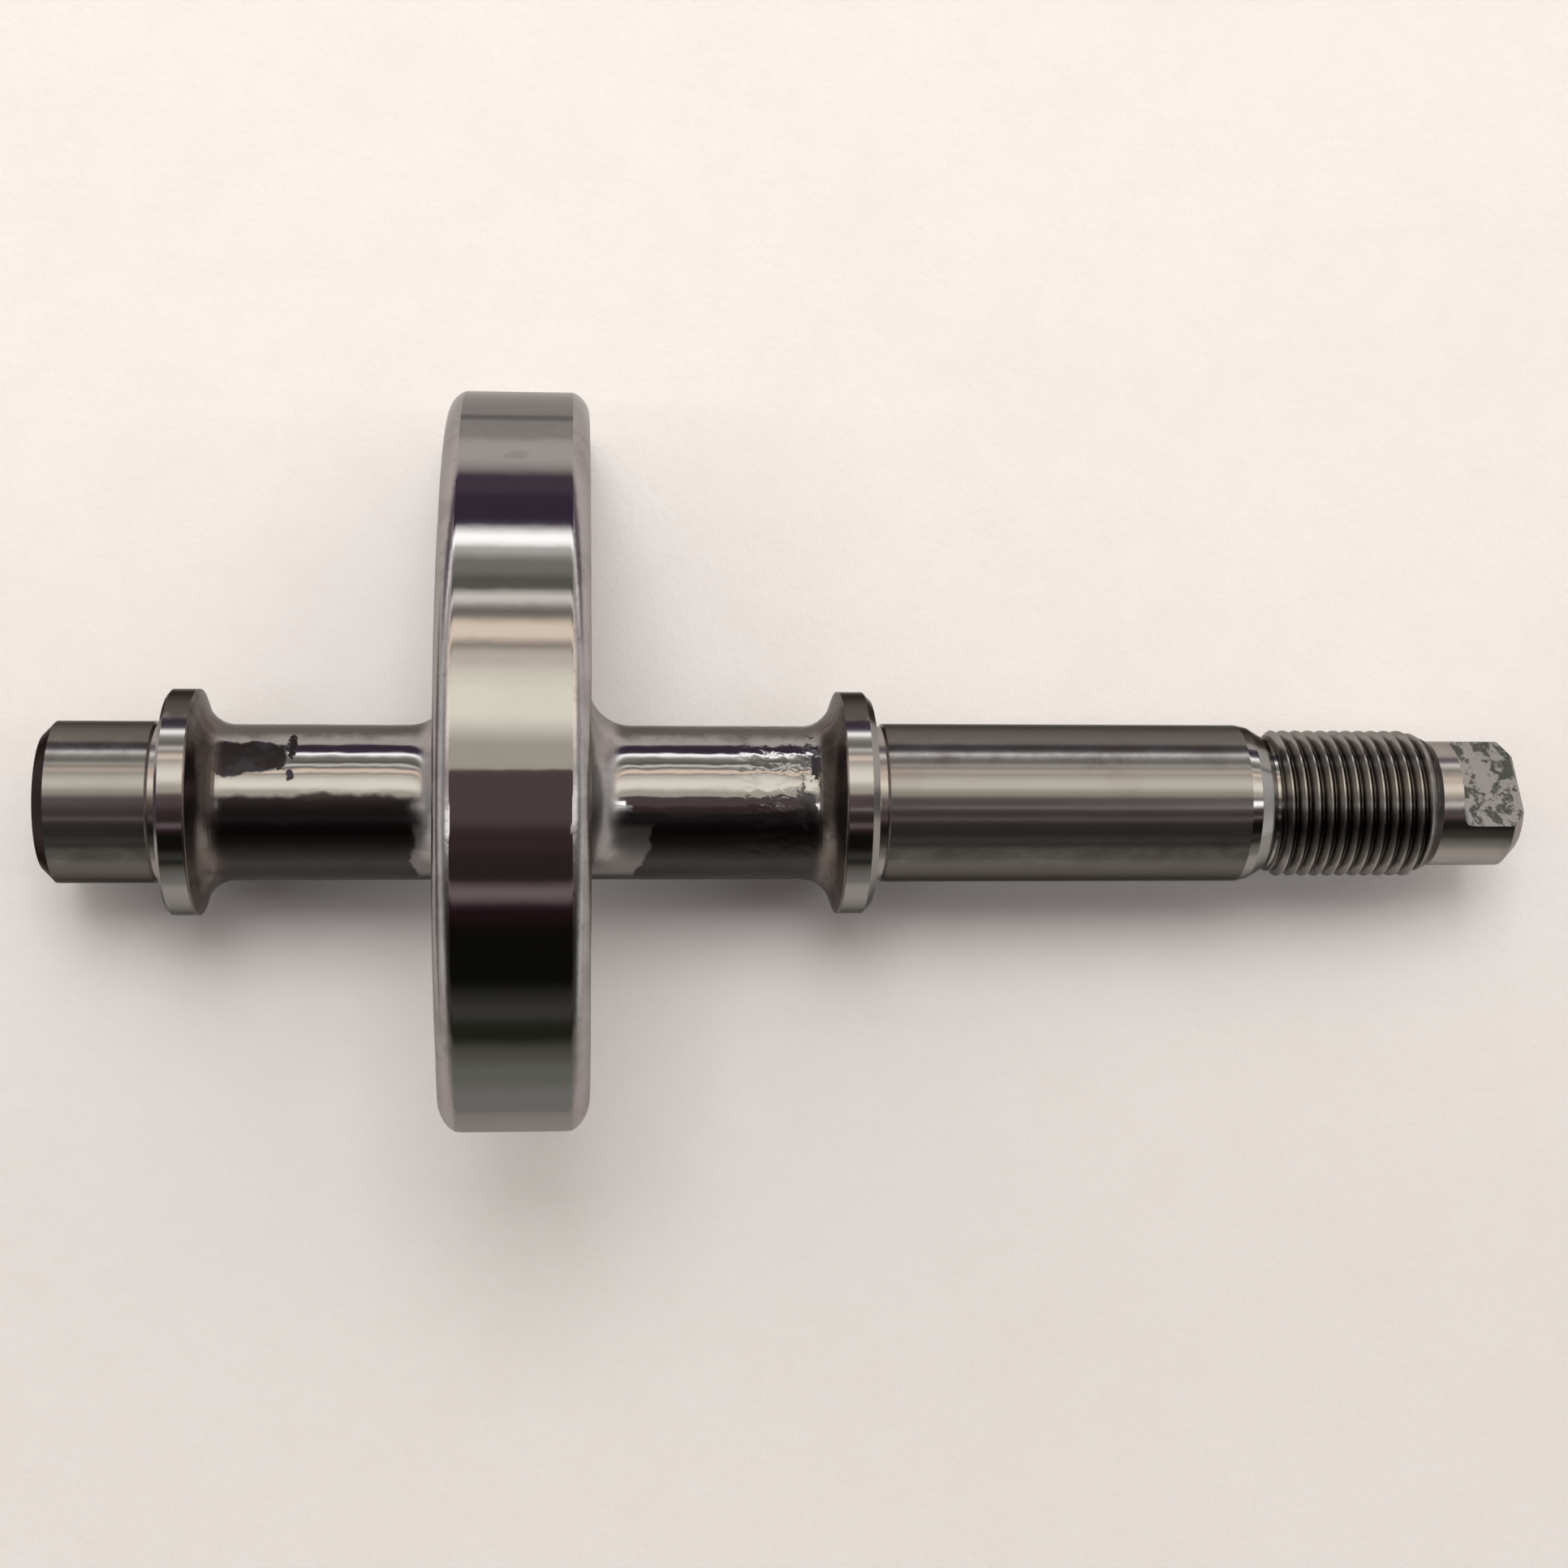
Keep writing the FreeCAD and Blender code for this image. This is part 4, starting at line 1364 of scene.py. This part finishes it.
ROOM = (
    Band("dim wall behind", -90.0, -84.0, (1.0, 0.97, 0.92), 0.4),
    Band("foot of the wall", -79.0, -75.0, (1.0, 1.0, 0.9), 0.3),
    Band("dark edge behind", -71.0, -69.5, (1.0, 1.0, 0.8), 0.2),
    Band("dark shelf", -65.0, -61.0, (1.0, 0.98, 0.75), 0.04),
    Band("faint shelf light", -57.5, -56.0, (1.0, 0.97, 0.85), 0.1),
    Band("black ceiling", -48.0, -33.0, (1.0, 0.95, 0.85), 0.011),
    Band("dark red ceiling", -30.0, -27.0, (1.0, 0.45, 0.57), 0.033),
    Band("thin pink light", -24.4, -22.0, (1.0, 0.76, 0.83), 0.37),
    Band("purple shade", -20.2, -14.0, (1.0, 0.68, 0.72), 0.058),
    Band("brown shade", -12.0, -7.5, (1.0, 0.62, 0.67), 0.088),
    Band("dark overhead", -4.0, 4.3, (1.0, 0.72, 0.74), 0.19),
    Band("beige wall", 9.3, 16.0, (1.0, 0.92, 0.8), 0.96),
    Band("cream window", 23.0, 30.0, (1.0, 0.955, 0.83), 1.97),
    Band("lower window", 33.0, 34.0, (1.0, 0.95, 0.82), 1.75),
    Band("window bar", 38.0, 40.3, (1.0, 0.91, 0.8), 1.32),
    Band("thin bar", 42.0, 42.8, (1.0, 0.86, 0.72), 0.65),
    Band("tan sill", 44.6, 48.2, (1.0, 0.84, 0.7), 1.9),
    Band("ragged sill", 51.0, 52.8, (1.0, 0.9, 0.82), 0.36),
    Band("pale sill", 55.4, 56.8, (1.0, 0.95, 0.9), 1.7),
    Band("grey side", 58.8, 62.0, (1.0, 0.97, 0.85), 0.25),
    Band("pale side", 64.0, 68.0, (1.0, 0.94, 0.86), 0.45),
    Band("edge of the strip", 70.6, 72.0, (1.0, 0.98, 0.93), 1.1),
    Band("strip light", 73.6, 76.2, (1.0, 0.99, 1.0), 3.0),
    Band("dark horizon", 80.0, 90.0, (1.0, 0.72, 1.2), 0.13),
)


@dataclass
class Studio:
    """Paper floor, room, softbox, dark flag and camera."""

    floor_level: float
    strength: float = 3.2
    floor_colour: Colour = (0.822, 0.794, 0.786)
    floor_size: float = 3.0

    def build(self) -> None:
        """Build all of it."""
        self.add_room()
        self.add_floor()
        self.add_flag()
        self.add_softbox()
        self.add_camera()
        bpy.context.scene.view_settings.view_transform = "Standard"

    def add_room(self) -> None:
        """Room as bands of light over the shaft's length, closed at both ends by a light grey wall."""
        world = bpy.data.worlds.new("room")
        bpy.context.scene.world = world
        make = empty_tree(world)
        across, aside, up = make.split(make.node("ShaderNodeTexCoord", {}, {}, "Generated"))
        angle = aside.math("ARCTAN2", up)
        stops = [
            ((place + 180.0) / 360.0, tuple(part * band.light / self.strength for part in band.colour))
            for band in ROOM for place in (band.start, band.end)]
        share = angle * (0.5 / math.pi) + 0.5
        # One colour ramp holds 32 stops at most, so two of them share the bands.
        first_ramp = 22
        halves = [
            make.node("ShaderNodeValToRGB", {"stops": half}, {0: share})
            for half in (stops[:first_ramp], stops[first_ramp:])]
        room = make.mix(share.above(stops[first_ramp][0] - 0.001), *halves)
        bright, lamp, low, shade, glow = (
            (part / self.strength,) * 3 for part in (0.95, 3.2, 0.95, 0.18, 0.42))
        out = across.math("ABSOLUTE")
        line = (angle + math.radians(6.5)).math("ABSOLUTE").ramp(math.radians(1.5), math.radians(0.8))
        spot = (angle + math.radians(3.0) - across * 0.06).math("ABSOLUTE")
        spot = spot.ramp(math.radians(5.0), math.radians(3.0))
        room = make.mix(line * across.ramp(0.08, 0.15), room, bright)
        high = make.mix(aside.ramp(-0.2, 0.2), shade, glow)
        wall = make.mix(up.ramp(0.1, 0.4), low, high)
        room = make.mix(out.ramp(0.68, 0.88), room, wall)
        room = make.mix(spot * out.ramp(0.3, 0.4) * out.ramp(0.92, 0.8), room, lamp)
        background = make.node("ShaderNodeBackground", {}, {"Color": room, "Strength": self.strength})
        make.node("ShaderNodeOutputWorld", {}, {"Surface": background})

    def add_floor(self) -> None:
        """Pale paper under the shaft, with painted shade: its colour is a little darker on the side away from
        the window.
        """
        material = bpy.data.materials.new("paper")
        make = empty_tree(material)
        place = make.node("ShaderNodeTexCoord", {}, {}, "Object")
        _, aside, _ = make.split(place)
        # Painted shade: the paper is given a darker colour on the side away from the window.
        near = tuple(part * 0.9 for part in self.floor_colour)
        colour = make.mix(aside.ramp(-0.05, 0.04), near, self.floor_colour)
        cloud = make.noise(place, 60.0, 2.0, 0.5) + make.noise(place, 320.0, 3.0, 0.6)
        colour = make.mix(cloud.ramp(0.7, 1.4) * 0.12, colour, (0.62, 0.585, 0.56))
        grain = make.bump(make.noise(place, 1300.0, 2.0, 0.6) * 0.06)
        make.surface({"Base Color": colour, "Roughness": 0.9, "Normal": grain})
        half, level = self.floor_size, self.floor_level
        corners = [(-half, -half, level), (half, -half, level), (half, half, level), (-half, half, level)]
        floor = self.add_prop("paper_floor", material, corners, [(0, 1, 2, 3)])

    def add_prop(
        self, name: str, material: bpy.types.Material, points: Sequence[tuple[float, float, float]],
        faces: Sequence[tuple[int, ...]],
    ) -> bpy.types.Object:
        """Add a mesh to the scene.

        Args:
            name: its name.
            material: its material.
            points: its vertices in metres.
            faces: its faces.

        Returns:
            The object.
        """
        mesh = bpy.data.meshes.new(name)
        mesh.from_pydata(points, [], faces)
        mesh.materials.append(material)
        prop = bpy.data.objects.new(name, mesh)
        bpy.context.scene.collection.objects.link(prop)
        return prop

    def add_flag(self) -> None:
        """Dark edge of the room, seen only in reflections: it fades in on the floor up to a low wall."""
        material = bpy.data.materials.new("dark_flag")
        make = empty_tree(material)
        across, aside, _ = make.split(make.node("ShaderNodeTexCoord", {}, {}, "Object"))
        behind = aside.ramp(0.12, 0.28)
        beside = across.ramp(-0.065, -0.085) * aside.ramp(0.09, 0.06)
        clear = make.node("ShaderNodeBsdfTransparent")
        glow = make.node("ShaderNodeEmission", {}, {"Color": (0.085, 0.06, 0.1, 1.0), "Strength": 1.0})
        mixed = make.node("ShaderNodeMixShader", {}, {0: behind.most(beside) * 0.95, 1: clear, 2: glow})
        make.node("ShaderNodeOutputMaterial", {}, {"Surface": mixed})
        low, left, right, front, back, top = self.floor_level + 0.0005, -0.8, 0.9, 0.12, 0.42, 0.09
        points = [
            (left, front, low), (right, front, low), (right, back, low), (left, back, low),
            (right, back, top), (left, back, top),
            (-0.3, -0.08, low), (-0.06, -0.08, low), (-0.06, 0.1, low), (-0.3, 0.1, low)]
        flag = self.add_prop("dark_flag", material, points, [(0, 1, 2, 3), (3, 2, 4, 5), (6, 7, 8, 9)])
        flag.visible_camera = False
        flag.visible_diffuse = False
        flag.visible_shadow = False
        flag.visible_transmission = False

    def add_softbox(self) -> None:
        """Soft light overhead, towards the window's side; the metal reflects the room instead of it."""
        light = bpy.data.lights.new("softbox", "AREA")
        light.shape = "RECTANGLE"
        light.size = 0.42
        light.size_y = 0.5
        light.energy = 4.6
        light.color = (1.0, 0.99, 0.98)
        lamp = bpy.data.objects.new("softbox", light)
        lamp.location = (0.0, 0.45, 0.78)
        lamp.visible_glossy = False
        bpy.context.scene.collection.objects.link(lamp)

    def add_camera(self) -> None:
        """Camera nearly straight above, turned a little to the low end."""
        data = bpy.data.cameras.new("camera")
        data.sensor_width = 36.0
        data.sensor_height = 36.0
        data.lens = 54.97
        data.clip_start = 0.01
        data.clip_end = 20.0
        camera = bpy.data.objects.new("camera", data)
        tilt = Matrix.Rotation(-0.0897, 4, "Y") @ Matrix.Rotation(0.0017, 4, "Z")
        camera.matrix_world = Matrix.Translation((0.037884, 0.001758, 0.225852)) @ tilt
        bpy.context.scene.collection.objects.link(camera)
        bpy.context.scene.camera = camera


def main() -> None:
    """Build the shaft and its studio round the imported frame."""
    logging.basicConfig(level=logging.INFO, format="%(name)s: %(message)s")
    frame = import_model()
    sizes = Sizes.from_frame(frame["record"])
    materials = {finish: FINISH_LIST[finish].build() for finish in Finish}
    piece = BalanceShaft(sizes, materials).build()
    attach(piece, "root")
    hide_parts(NODE)
    Studio(-sizes.collar * MM).build()


if __name__ == "__main__":
    main()
